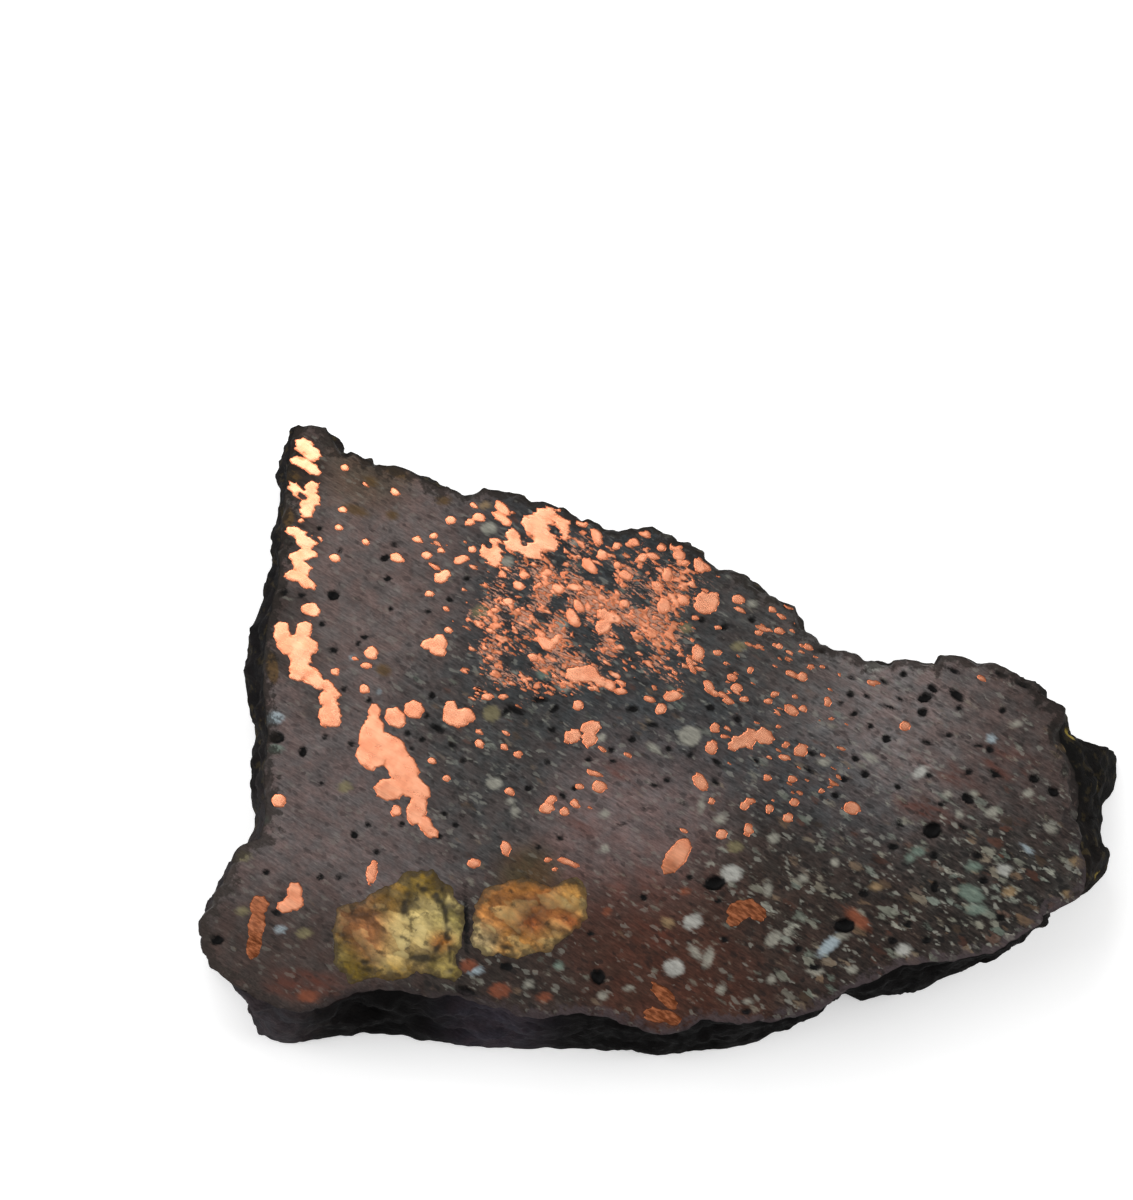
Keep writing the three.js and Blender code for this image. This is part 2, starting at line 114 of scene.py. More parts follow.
def ring_distance(x, y, ring):
    """Distance to a ring in mm, below zero inside it.

    It is the distance to the nearest side, with its sign from how many sides lie right of the point.
    """
    nearest = np.full(x.shape, np.inf)
    inside = np.zeros(x.shape, bool)
    for (ax, ay), (bx, by) in zip(ring, np.roll(ring, -1, axis=0)):
        ux, uy = bx - ax, by - ay
        share = np.clip(((x - ax) * ux + (y - ay) * uy) / (ux * ux + uy * uy), 0, 1)
        nearest = np.minimum(nearest, np.hypot(x - ax - share * ux, y - ay - share * uy))
        if ay != by:
            inside ^= ((ay > y) != (by > y)) & (x < ax + (y - ay) * ux / uy)
    return np.where(inside, -nearest, nearest)


def blob_distance(x, y, blob):
    """Distance to a turned ellipse in mm, nearly: how far out a point lies as a share of the ellipse, less
    one, times its half width. A blob is its middle, half length, half width and turn in degrees."""
    middle_x, middle_y, long, short, turn = blob
    cosine, sine = np.cos(np.radians(turn)), np.sin(np.radians(turn))
    along = (x - middle_x) * cosine + (y - middle_y) * sine
    across = (y - middle_y) * cosine - (x - middle_x) * sine
    return (np.hypot(along / long, across / short) - 1) * short


def soft_step(value, low, high):
    """From 0 at low to 1 at high, on an S-curve."""
    share = np.clip((value - low) / (high - low), 0, 1)
    return share * share * (3 - 2 * share)


def run_between(ring, start, end):
    """The stretch of a ring from its point nearest one place to its point nearest another."""
    first, last = (int(np.argmin(np.hypot(*(ring - place).T))) for place in (start, end))
    return np.roll(ring, -first, axis=0)[: (last - first) % len(ring) + 1]


def spread(run, count):
    """A run of points taken again at even steps along its length."""
    travelled = np.append(0, np.cumsum(np.hypot(*np.diff(run, axis=0).T)))
    at = np.linspace(0, travelled[-1], count)
    return np.stack([np.interp(at, travelled, run[:, axis]) for axis in (0, 1)], axis=-1)


def edge_runs(ring, corners):
    """Near, right, far and left run of an outline, near and far from the left, left and right from near."""
    near, right, far, left = (
        spread(run_between(ring, start, end), count)
        for start, end, count in zip(corners, corners[1:] + corners[:1], (COLUMNS, ROWS, COLUMNS, ROWS))
    )
    return near, right, far[::-1], left[::-1]


def filled_patch(near, right, far, left):
    """Points that fill four edge runs: the blend from near to far, plus the blend from left to right, less
    the blend of the four corners."""
    u = np.linspace(0, 1, COLUMNS)[:, None, None]
    v = np.linspace(0, 1, ROWS)[None, :, None]
    across = (1 - v) * near[:, None] + v * far[:, None]
    along = (1 - u) * left[None] + u * right[None]
    corners = (1 - u) * ((1 - v) * near[0] + v * far[0]) + u * ((1 - v) * near[-1] + v * far[-1])
    return across + along - corners


def around(near, right, far, left):
    """The four edge runs as one loop, from the near left corner round by the right."""
    return np.concatenate([near[:-1], right[:-1], far[:0:-1], left[:0:-1]])


stone_rims = sorted(rims("stone", THICKNESS), key=ring_area)
face_runs = edge_runs(stone_rims[-1], FACE_CORNERS)
foot_runs = edge_runs(max((ring[::-1] for ring in rims("stone", 0.0)), key=ring_area), FOOT_CORNERS)
face = filled_patch(*face_runs)
EDGE_CRUMB, EDGE_STRAY = 0.7, 0.13  # size of the crumbs at the face's edge, and how far they stray, in mm
crumbs = [noise(face[..., 0] / EDGE_CRUMB, face[..., 1] / EDGE_CRUMB, layer) for layer in (3.0, 9.0)]
face = face + EDGE_STRAY * np.stack(crumbs, axis=-1)

# Bubbles that stayed open: the solid's own, which are its rims that hold no filling, small ones of a few
# shapes, and odd ones, the last of them the crack between the two nodules
SMALL_BUBBLES = {  # places in the plan, by half length, half width and turn
    (0.35, 0.35, 0): [
        (-36.3, 13.7), (-33.9, -15.7), (-35.8, -15.6),
    ],
    (0.4, 0.3, 0): [
        (-31.7, 12.1), (-40.0, 23.3), (-38.6, 17.1), (-35.9, -4.9), (6.0, -18.3), (29.9, -7.3),
        (3.1, -15.6),
    ],
    (0.3, 0.3, 0): [
        (-32.4, 11.4), (-28.9, 15.5), (-24.9, 15.2), (-36.9, 25.2), (-35.7, 0.4),
    ],
    (0.4, 0.35, 0): [
        (-29.3, 19.1), (-20.7, 19.2), (4.8, 14.2), (10.2, 14.2), (-41.5, -15.1), (6.6, -22.6),
        (14.3, -23.6), (32.2, 3.8), (26.4, 7.7), (36.9, 3.5), (32.9, -3.7), (35.7, -4.0), (19.7, -4.5),
        (-26.9, 0.8),
    ],
    (0.35, 0.3, 0): [
        (-34.6, 22.5), (-33.8, 6.0), (-24.8, 2.9), (-32.9, -0.5), (8.4, 2.5), (-11.0, 3.8), (3.3, -1.6),
        (0.8, -4.6), (-9.0, -5.5), (-12.8, -12.2), (-20.9, -2.3), (-22.8, -8.4), (-21.6, -9.7),
        (-30.9, -9.7), (-29.9, -12.8), (-7.4, -21.9), (20.9, 3.1), (22.6, 1.6), (17.7, 10.5), (-31.1, 4.7),
        (-23.3, -11.0), (-25.3, 0.1), (-27.3, -9.6), (-7.5, -2.2), (-10.6, -11.2), (-19.3, 5.9),
    ],
    (0.5, 0.4, 0): [
        (-40.6, 17.5), (25.8, -20.9), (35.6, -20.1), (28.9, -13.2),
    ],
    (0.3, 0.25, 0): [
        (-32.8, -0.2), (-26.4, -0.9), (19.5, 4.3),
    ],
}
ODD_BUBBLES = [  # place in the plan, half length, half width and turn
    (-35.0, 10.6, 0.45, 0.35, 0), (-24.3, 5.2, 0.4, 0.4, 0), (-28.7, 23.2, 0.5, 0.25, -30),
    (-23.6, 1.4, 0.8, 0.4, -30), (-40.8, 0.3, 0.8, 0.6, 0), (-11.4, 1.3, 0.5, 0.3, -30),
    (-40.3, -19.6, 0.45, 0.3, -30), (-20.3, -28.3, 1.1, 0.5, -15), (8.7, -30.5, 0.5, 0.35, 0),
    (27.7, -22.7, 0.45, 0.35, 0), (33.5, -13.2, 0.6, 0.35, -30), (-22.1, -0.5, 0.45, 0.3, -30),
    (-11.9, -2.5, 0.4, 0.3, -30), (-10.3, -6.3, 0.5, 0.3, -50), (-15.3, 3.5, 1.1, 0.35, -25),
    (-12.7, 4.7, 0.9, 0.35, 0), (-11.3, 3.5, 0.5, 0.3, 30), (-16.4, 3.3, 0.5, 0.3, 40),
    (20.8, 7.4, 0.4, 0.25, -30), (24.2, 6.9, 0.45, 0.25, -30), (22.3, 5.2, 0.45, 0.25, -45),
    (24.7, 3.9, 0.9, 0.25, -15), (25.9, 4.8, 0.4, 0.2, -40), (31.0, 0.6, 0.4, 0.25, 0),
    (28.6, -0.2, 0.7, 0.3, -15), (28.7, -4.0, 0.45, 0.3, 20), (25.4, -9.6, 0.5, 0.3, -50),
    (34.2, -0.6, 0.5, 0.2, -10), (39.2, 6.6, 0.9, 0.4, -30), (36.8, 7.7, 0.6, 0.25, -30),
    (31.7, 8.2, 0.9, 0.25, -34), (32.1, -10.0, 0.6, 0.25, -35), (35.8, -3.8, 0.8, 0.35, -30),
    (-5.0, -2.4, 0.35, 0.25, 0), (1.0, -1.0, 0.35, 0.3, -40), (-0.7, 1.8, 0.6, 0.25, -20),
    (-0.6, -5.2, 0.35, 0.2, -20), (-1.7, -7.9, 0.45, 0.2, 0), (-3.9, -9.6, 0.45, 0.2, 10),
    (2.5, -7.2, 0.4, 0.2, -30), (6.1, -2.5, 0.6, 0.3, -50), (5.9, -4.9, 0.5, 0.25, -40),
    (10.4, -2.4, 0.5, 0.25, -40), (16.0, -3.4, 0.6, 0.3, -40), (16.3, -1.5, 0.5, 0.25, -30),
    (8.4, 2.5, 0.5, 0.35, -60), (32.0, 5.3, 1.0, 0.5, -45), (-20.4, -20.6, 3.2, 0.3, 93),
]
BUBBLE_DEPTH = 0.9  # depth of an open bubble, as a share of its half width


def holds_filling(ring):
    """Whether the middle of a filling's box lies within a rim's own box."""
    boxes = [np.array(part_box(name))[:, :2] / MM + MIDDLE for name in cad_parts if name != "stone"]
    middles = [box.mean(axis=0) for box in boxes]
    return any((ring.min(axis=0) < m).all() and (m < ring.max(axis=0)).all() for m in middles)


x, y = face[..., 0], face[..., 1]
bubble_distances = [ring_distance(x, y, ring) for ring in stone_rims[:-1] if not holds_filling(ring)]
small_bubbles = [(*place, *shape) for shape, places in SMALL_BUBBLES.items() for place in places]
bubble_distances += [blob_distance(x, y, blob) for blob in small_bubbles + ODD_BUBBLES]
hollow = np.zeros(x.shape)
for distance in bubble_distances:
    within = np.maximum(0, -distance)
    hollow = np.maximum(hollow, BUBBLE_DEPTH * np.sqrt(within * np.maximum(0, 2 * within.max() - within)))
bubble_distance = np.minimum.reduce(bubble_distances)

# Chips along the face's edge, where the break took a flake of the face with it
CHIP_DEPTH, CHIP_SLOPE = 0.7, 0.8  # how deep a chip goes, and over what breadth it gets there, in mm
CHIP_REACH = 0.35  # how far in from the edge chips go on average, in mm
CHIP_STRAYS = [(2.3, 0.9, 40.0), (0.8, 0.4, 43.0)]  # size of a stray, its reach in mm, and its noise layer
rim_distance = np.maximum(0, -ring_distance(x, y, stone_rims[-1]))
chip_reach = CHIP_REACH
for size, stray, layer in CHIP_STRAYS:
    chip_reach = chip_reach + stray * noise(x / size, y / size, layer)
hollow = np.maximum(hollow, CHIP_DEPTH * soft_step(chip_reach - rim_distance, 0, CHIP_SLOPE))

# The wall hangs from the face's edge to the foot, and its steps and knobs grow away from both saw cuts. At
# the far right it falls straight to a ledge. A push is a place in the plan, its reach and its way out in mm
LEDGE = (45.0, 4.5, 3.5)
WALL_BEND, LEDGE_BEND = 1.3, 1.05  # curve from edge to foot, 1 being straight, and what the ledge takes off
RING_CROWDING = 1.25  # above 1, the wall's rings lie closer under the face's edge
KNOBS = [(3.6, 0.9), (1.5, 0.5), (0.7, 0.26)]  # size and rise in mm
KNOB_BREADTH = 1.5  # how much broader than high a knob is
KNOB_START, FOOT_HOLD = 0.1, 0.6  # share of the fall by which knobs are full, and what the foot takes off
WALL_PUSH = 0.1  # way out of the whole wall in mm
WALL_PUSHES = [
    (-44.0, 27.0, 8.0, -0.45), (-45.0, -8.0, 5.0, -0.8), (-46.0, -25.0, 3.0, -0.8), (49.3, 3.8, 2.5, 0.5),
    (47.5, -12.0, 3.0, 0.6), (10.0, -34.0, 15.0, 0.3), (-25.0, -32.0, 12.0, 0.3),
]


def bell(x, y, spot):
    """From 1 in the middle of a spot to 0 far off, as a bell curve with the spot's reach."""
    return np.exp(-((x - spot[0]) ** 2 + (y - spot[1]) ** 2) / spot[2] ** 2)


face_loop = around(face[:, 0], face[-1], face[:, -1], face[0])
foot_loop = around(*foot_runs)
tangent = np.roll(face_loop, -4, axis=0) - np.roll(face_loop, 4, axis=0)
outward = np.stack([tangent[:, 1], -tangent[:, 0]], axis=-1) / np.hypot(*tangent.T)[:, None]
fall = (np.arange(1, WALL_STEPS + 1) / WALL_STEPS)[:, None] ** RING_CROWDING
height = (THICKNESS - around(hollow[:, 0], hollow[-1], hollow[:, -1], hollow[0])) * (1 - fall)
bend = WALL_BEND - LEDGE_BEND * bell(*foot_loop.T, LEDGE)
wall = foot_loop + (face_loop - foot_loop) * ((height / THICKNESS) ** bend)[..., None]
wx, wy = wall[..., 0], wall[..., 1]
knobs = sum(push[3] * bell(wx, wy, push) for push in WALL_PUSHES) + WALL_PUSH
for size, rise in KNOBS:
    knobs = knobs + rise * noise(wx / size, wy / size, KNOB_BREADTH * height / size)
freedom = np.minimum(1, fall / KNOB_START) * (1 - FOOT_HOLD * fall**6)
wall = wall + outward * (knobs * freedom)[..., None]
wall_points = np.concatenate([wall, height[..., None]], axis=-1)


def slab_quads():
    """Faces of the slab: the face's grid, then rings of quads down the wall, numbered as its points are."""
    number = np.arange(COLUMNS * ROWS).reshape(COLUMNS, ROWS)
    grid = np.stack([number[:-1, :-1], number[1:, :-1], number[1:, 1:], number[:-1, 1:]], axis=-1)
    edge = around(number[:, 0], number[-1], number[:, -1], number[0])
    below = number.size + np.arange(WALL_STEPS * len(edge)).reshape(WALL_STEPS, len(edge))
    upper = np.concatenate([edge[None], below[:-1]])
    ahead = [np.roll(rows, -1, axis=1) for rows in (upper, below)]
    rings = np.stack([below, ahead[1], ahead[0], upper], axis=-1)
    return np.concatenate([grid.reshape(-1, 4), rings.reshape(-1, 4)]), below[-1][::-1]


def new_piece(name, points, quads, cap=()):
    """A piece from its points in the plan and its faces: the quads, and one flat cap where it has one."""
    corners = np.concatenate([quads.ravel(), np.asarray(cap, int)]).astype(np.int32)
    starts = np.arange(len(quads) + (len(cap) > 0), dtype=np.int32) * 4
    mesh = bpy.data.meshes.new(name)
    mesh.vertices.add(len(points))
    mesh.vertices.foreach_set("co", ((points - [*MIDDLE, 0]) * MM).astype(np.float32).ravel())
    mesh.loops.add(len(corners))
    mesh.loops.foreach_set("vertex_index", corners)
    mesh.polygons.add(len(starts))
    mesh.polygons.foreach_set("loop_start", starts)
    mesh.update(calc_edges=True)
    piece = bpy.data.objects.new(name, mesh)
    bpy.context.scene.collection.objects.link(piece)
    return piece


def keep_values(piece, name, values, domain="POINT"):
    """Keeps a number or a colour for each vertex or face of a piece, for its material to read."""
    coloured = values.ndim == 2
    layer = piece.data.attributes.new(name, "FLOAT_COLOR" if coloured else "FLOAT", domain)
    layer.data.foreach_set("color" if coloured else "value", values.astype(np.float32).ravel())


face_points = np.dstack([face, THICKNESS - hollow]).reshape(-1, 3)
stone_points = np.concatenate([face_points, wall_points.reshape(-1, 3)])
stone_quads, foot_cap = slab_quads()
stone = new_piece("basalt_slab", stone_points, stone_quads, foot_cap)
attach(stone, "root")
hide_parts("stone")

# Tones of the sawn face, of the wall and of a band along the face's edge: the middle of each, its reach and
# its colour, then how thick grains lie on the face or ochre patches on the wall, from 0 to 1, or how wide
# the band is in mm. The wall's tones hold painted shade and painted light: the near and right walls are
# painted near black, as in shade, and a low ledge of the near wall and the near left corner are painted
# lighter, as lit
FACE_ZONES = [
    (-33, 18, 9, paint(98, 86, 83), 0.1), (-36, -5, 10, paint(97, 86, 84), 0.05),
    (-20, -1, 8, paint(62, 60, 59), 0.5), (-9, 13, 10, paint(54, 55, 56), 0.4),
    (4, 3, 8, paint(58, 59, 60), 0.55), (-2, -9, 7, paint(110, 95, 93), 0.05),
    (12, 9, 8, paint(68, 64, 62), 0.25), (18, -5, 7, paint(54, 56, 58), 0.55),
    (25, 2, 9, paint(117, 107, 105), 0.25), (37, 0, 9, paint(70, 60, 57), 0.4),
    (0, -22, 9, paint(66, 41, 32), 0.35), (13, -15, 7, paint(54, 46, 41), 0.7),
    (20, -22, 8, paint(48, 39, 35), 0.9), (34, -15, 8, paint(45, 41, 38), 1.0),
    (-32, 31, 3, paint(84, 70, 58), 0.2), (-39, -24, 6, paint(66, 55, 51), 0.15),
    (-15, -28, 6, paint(50, 42, 38), 0.4), (-40, 32, 2.5, paint(38, 31, 26), 0.3),
    (-40, 24, 2.5, paint(38, 31, 26), 0.3), (-40, 16, 2.5, paint(34, 28, 24), 0.3),
    (-39, 10, 2.5, paint(42, 34, 28), 0.3), (-36, 4, 2, paint(48, 40, 35), 0.3),
    (-13.5, -15.2, 2, paint(74, 60, 40), 0.1),
]
# Painted shade and light in the wall's tones: paint(5, 4, 4) on the near wall and paint(14, 13, 12) on the
# right are painted shade, and the lighter tones at (-17, -31.5) and (-43, -30) are painted light
WALL_TONES_AND_SHADE = [
    (-44, 20, 12, paint(20, 18, 19), 0.15), (-46, -18, 8, paint(46, 42, 43), 0.1),
    (0, -31, 25, paint(5, 4, 4), 0.0), (-17, -31.5, 4, paint(58, 52, 60), 0.0),
    (47, -4, 7, paint(14, 13, 12), 0.1), (44, -14, 5, paint(24, 21, 19), 0.2),
    (-43, -30, 3.5, paint(54, 49, 52), 0.0),
    (0, 28, 25, paint(34, 30, 28), 0.25), (25, 10, 12, paint(38, 34, 32), 0.25),
]
RIM_ZONES = [
    (0, 28, 25, paint(38, 33, 29), 0.8), (-42, 15, 14, paint(30, 26, 22), 0.9),
    (-28, -29, 9, paint(50, 43, 43), 0.3), (4, -31, 18, paint(66, 57, 59), 0.6),
    (35, -22, 12, paint(70, 61, 63), 0.6),
    (-44, -20, 8, paint(48, 42, 38), 1.0), (46, -4, 8, paint(26, 23, 20), 1.0),
]
RUST_STAINS = [
    (-3.8, -4.3, 2.2, 1.4, -30), (-8.3, -9.4, 1.6, 1.1, -30), (-2.5, -16.7, 3.0, 2.0, -20),
    (-0.5, -21.5, 2.6, 1.8, 0), (37.0, -2.5, 3.0, 1.8, -30), (28.0, -8.0, 3.0, 1.6, -30),
    (-37.0, -27.5, 4.0, 1.6, 0), (30.5, -3.5, 3.0, 1.2, -30),
]

# Where fine copper is thick in the stone, and where it is thin
FLECK_ZONE = np.array([
    (-19.5, 4.6), (-14.0, 4.8), (-9.0, 5.4), (-2.0, 7.8), (2.5, 6.3), (4.2, 9.0), (3.5, 14.0), (6.4, 19.5),
    (4.4, 23.0), (-2.0, 24.4), (-8.0, 25.5), (-15.0, 24.0), (-20.5, 20.0), (-21.0, 13.0),
])
THIN_FLECKS = [(13, 4, 8, 14, 10), (-23, 24, 3.5, 2.5, -30), (-14, 27, 8, 2, -25)]


def fleck_density(x, y):
    """How thick the fine copper lies, from 0 to 1: full inside its zone, thin elsewhere, none at the edge.

    It is gathered in clumps.
    """
    thick = soft_step(-ring_distance(x, y, FLECK_ZONE), -2.0, 5.0)
    thick = thick * (1 - 0.5 * soft_step(y, 15.0, 22.0))
    thin = [0.07 * soft_step(-blob_distance(x, y, blob), -1.0, 3.0) for blob in THIN_FLECKS]
    clumps = np.clip(1 + 1.2 * noise(x / 1.8, y / 1.8, 28.0), 0.1, 2.0)
    density = np.maximum.reduce([thick, *thin]) * clumps
    some = density > 0
    density[some] *= soft_step(-ring_distance(x[some], y[some], stone_rims[-1]), 0.6, 1.4)
    return density


def zone_mix(x, y, zones):
    """Colour and thickness at each point: the zones' own, each weighed by how near its middle is against its
    reach, as a bell curve."""
    weights = [bell(x, y, zone) + 1e-5 for zone in zones]
    colour = sum(weight[..., None] * zone[3] for weight, zone in zip(weights, zones))
    thickness = sum(weight * zone[4] for weight, zone in zip(weights, zones))
    return colour / sum(weights)[..., None], thickness / sum(weights)


# Pale grains in the stone, by their tint
GRAINS = {
    (152, 150, 138): [
        (3.3, 0.5, 1.3, 1.2, 0), (-0.6, -0.9, 0.9, 0.45, -40), (-6.2, 0.3, 0.6, 0.5, 0),
        (-17.6, -5.0, 0.9, 0.7, 0), (-15.4, -8.2, 0.7, 0.4, 90), (-15.8, -7.0, 0.5, 0.4, 0),
        (-5.8, -8.5, 0.6, 0.5, 0), (-5.8, -12.4, 0.5, 0.5, 0), (4.4, -7.5, 1.0, 0.4, 80),
        (6.3, -9.2, 0.7, 0.5, 0), (12.0, -11.2, 0.7, 0.6, 0), (11.3, -16.9, 0.9, 0.5, 90),
        (4.9, -24.6, 1.2, 0.6, 75), (3.5, -24.0, 1.1, 0.5, -55), (11.7, -22.5, 1.1, 0.7, 50),
        (-6.1, -28.8, 0.6, 0.5, 0), (-3.4, -27.9, 0.5, 0.4, 0), (-13.8, -27.5, 0.6, 0.5, 0),
        (8.9, -29.4, 0.6, 0.3, 0), (6.2, -28.0, 0.5, 0.5, 0), (11.4, -27.0, 0.5, 0.5, 0),
        (18.7, -22.3, 1.0, 0.5, 10), (16.0, -26.1, 0.9, 0.5, 0), (19.8, -25.9, 0.6, 0.5, 0),
        (15.0, -15.8, 0.6, 0.5, 0), (18.4, -14.0, 0.5, 0.5, 0), (41.3, -10.1, 0.8, 0.5, -35),
        (44.0, -8.3, 0.5, 0.4, 0), (35.2, -8.3, 0.7, 0.6, 0), (31.7, -8.5, 0.5, 0.5, 0),
        (22.5, -2.0, 0.9, 0.5, -40), (38.2, 1.9, 0.7, 0.4, 0), (39.2, -6.1, 0.6, 0.5, 0),
        (33.3, -6.2, 0.5, 0.5, 0), (30.6, -6.2, 0.5, 0.5, 0), (17.5, -2.5, 0.8, 0.5, 0),
        (-16.4, 21.2, 0.8, 0.7, 0), (-18.4, 25.2, 0.9, 0.8, 0), (-9.0, 23.4, 0.5, 0.4, 0),
        (-10.4, 13.7, 0.8, 0.7, 0), (-10.1, 6.2, 0.7, 0.6, 0), (10.3, 16.1, 0.6, 0.5, 0),
    ],
    (174, 174, 167): [
        (7.5, -15.2, 1.2, 1.0, 0), (3.3, -20.6, 1.1, 0.85, 25), (1.3, -25.7, 1.1, 1.0, 0),
        (25.3, -23.7, 0.9, 0.7, 0), (27.8, -3.7, 1.0, 0.6, 35), (23.2, 8.6, 1.0, 0.6, 0),
        (36.2, -14.8, 0.8, 0.7, 0),
    ],
    (160, 174, 180): [
        (-19.4, -26.0, 0.9, 0.5, 0), (17.6, -23.2, 1.7, 0.7, 45), (38.8, -12.5, 0.8, 0.3, -45),
        (35.5, 0.2, 0.6, 0.5, -50), (-39.8, -21.5, 0.6, 0.5, 0), (-41.1, 2.6, 1.0, 0.8, 0),
        (-33.0, 9.7, 0.3, 0.3, 0), (-30.0, 5.7, 0.3, 0.3, 0),
    ],
    (110, 126, 114): [
        (27.2, -12.7, 0.9, 0.6, 0), (26.3, -13.5, 0.6, 0.5, 0), (-41.8, -9.2, 0.6, 0.5, 0),
        (-41.0, -1.0, 0.9, 0.6, 0), (33.0, -14.5, 0.9, 0.6, 0), (32.6, -17.5, 1.5, 1.0, -30),
        (33.0, -19.2, 1.2, 0.7, 0), (-10.7, -25.5, 0.6, 0.5, 0), (-12.3, 7.8, 0.8, 0.7, 0),
    ],
    (122, 114, 84): [
        (7.9, -12.2, 0.9, 0.7, 0), (-17.9, 3.1, 1.0, 1.0, 0), (3.0, 13.2, 0.8, 0.7, 0),
        (8.7, 11.0, 0.8, 0.6, 0), (-44.0, -13.3, 1.0, 0.6, 0), (-33.4, -5.4, 0.8, 0.7, 0),
        (-43.8, -19.4, 0.8, 0.5, 0), (-19.2, 15.1, 1.0, 0.9, 0), (-37.3, -21.9, 0.9, 0.6, 0),
    ],
    (92, 70, 40): [
        (-23.4, 28.6, 0.9, 0.6, 0), (-31.5, 31.0, 1.0, 0.6, -30), (-29.0, 26.8, 0.8, 0.6, -30),
        (-28.5, 32.0, 1.8, 0.5, -28), (-33.0, 27.4, 1.6, 0.6, -25), (-40.2, 31.5, 1.0, 0.8, 0),
        (-40.4, 26.5, 0.7, 1.2, 0), (-41.6, 8.5, 0.7, 2.0, 10), (-29.6, 8.2, 1.0, 0.7, -40),
    ],
    (146, 122, 90): [
        (0.7, -20.7, 0.8, 0.5, -30), (22.6, -16.7, 0.7, 0.5, 0), (36.6, -17.3, 0.8, 0.6, 0),
        (44.0, -13.9, 0.9, 0.6, 0), (42.7, -17.5, 0.6, 0.4, 0), (43.0, -0.7, 0.6, 0.5, 0),
        (-18.8, 28.0, 0.7, 0.5, 0),
    ],
    (128, 72, 50): [
        (-36.7, -28.9, 1.2, 0.8, -10), (-12.2, -29.0, 0.8, 0.6, 0), (-16.8, -28.2, 1.2, 0.9, 0),
        (-20.1, -25.5, 0.9, 0.8, 0), (2.5, -17.2, 0.6, 0.5, 0), (-5.6, -19.5, 0.5, 0.5, 0),
        (20.6, -20.3, 1.7, 0.8, -45),
    ],
}


def grain_fields(x, y):
    """Distance to the nearest grain at each point, and that grain's tint."""
    nearest = np.full(x.shape, np.inf)
    tint = np.zeros((*x.shape, 4))
    for screen, blobs in GRAINS.items():
        distance = np.minimum.reduce([blob_distance(x, y, blob) for blob in blobs])
        tint[distance < nearest] = paint(*screen)
        nearest = np.minimum(nearest, distance)
    return nearest, tint


# Balls of ochre in the wall at the right end: place in the plan, height and half width
OCHRE = [(46.4, -4.0, 8.0, 1.2), (46.0, -13.0, 6.0, 1.1), (44.2, 1.6, 9.5, 0.8), (45.4, -9.5, 9.0, 0.6)]

sx, sy = stone_points[:, 0], stone_points[:, 1]
on_face = np.arange(len(stone_points)) < COLUMNS * ROWS
within_edge = np.zeros((COLUMNS, ROWS), bool)
within_edge[1:-1, 1:-1] = True
within_edge = on_face & np.resize(within_edge, len(sx))
grain_distance, grain_tint = grain_fields(sx, sy)
ochre = np.minimum.reduce([np.linalg.norm(stone_points - ball[:3], axis=1) - ball[3] for ball in OCHRE])
grain_distance = np.where(on_face, grain_distance, ochre)
grain_tint[~on_face] = paint(168, 146, 62)
stain = np.maximum.reduce([soft_step(-blob_distance(sx, sy, blob), -1.0, 1.0) for blob in RUST_STAINS])
face_tone, face_crowd = zone_mix(sx, sy, FACE_ZONES)
wall_tone_and_shade, wall_crowd = zone_mix(sx, sy, WALL_TONES_AND_SHADE)
# On the wall this tone carries the painted shade and painted light
keep_values(stone, "tone", np.where(within_edge[:, None], face_tone, wall_tone_and_shade))
keep_values(stone, "crowd", np.where(within_edge, face_crowd, wall_crowd))
rim_tone, rim_width = zone_mix(sx, sy, RIM_ZONES)
keep_values(stone, "rim_tone", rim_tone)
keep_values(stone, "rim_width", rim_width)
keep_values(stone, "grain_tint", grain_tint)
keep_values(stone, "grain", np.clip(grain_distance, -2, 2))
keep_values(stone, "bubble", np.where(on_face, np.clip(np.resize(bubble_distance, len(sx)), -2, 2), 2.0))
keep_values(stone, "rim", np.where(on_face, np.resize(rim_distance, len(sx)), 0.0))
keep_values(stone, "stain", np.where(on_face, stain, 0.0))
keep_values(stone, "copper_dust", np.where(on_face, fleck_density(sx, sy), 0.0))
side = np.zeros(len(stone.data.polygons))
side[(COLUMNS - 1) * (ROWS - 1) : -1] = 1.0
keep_values(stone, "broken", side, "FACE")


def wire(tree, kind, inputs=(), **settings):
    """A new shader node with its settings and its inputs, each a value or an output to join."""
    made = tree.nodes.new("ShaderNode" + kind)
    for name, value in settings.items():
        setattr(made, name, value)
    for name, value in dict(inputs).items():
        if isinstance(value, bpy.types.NodeSocket):
            tree.links.new(value, made.inputs[name])
        else:
            made.inputs[name].default_value = value
    return made


def kept(tree, name, output="Fac"):
    """A value or colour that a piece keeps for each vertex or face."""
    return wire(tree, "Attribute", attribute_name=name).outputs[output]


def maths(tree, operation, first, second):
    """One sum on two values."""
    return wire(tree, "Math", {0: first, 1: second}, operation=operation).outputs[0]


def times(tree, first, second):
    """One value times another."""
    return maths(tree, "MULTIPLY", first, second)


def plus(tree, first, second):
    """One value and another."""
    return maths(tree, "ADD", first, second)


def less(tree, first, second):
    """One value less another."""
    return maths(tree, "SUBTRACT", first, second)


def share_between(tree, value, low, high):
    """From 0 at low to 1 at high, on an S-curve."""
    inputs = {"Value": value, "From Min": low, "From Max": high}
    return wire(tree, "MapRange", inputs, interpolation_type="SMOOTHSTEP").outputs[0]


def scaled(tree, value, low, high):
    """A value of 0 to 1 stretched to run from low to high."""
    return wire(tree, "MapRange", {"Value": value, "To Min": low, "To Max": high}).outputs[0]


def mixed(tree, share, first, second, blend="MIX"):
    """Two colours mixed by a share."""
    inputs = {0: share, 6: first, 7: second}
    return wire(tree, "Mix", inputs, data_type="RGBA", blend_type=blend).outputs[2]


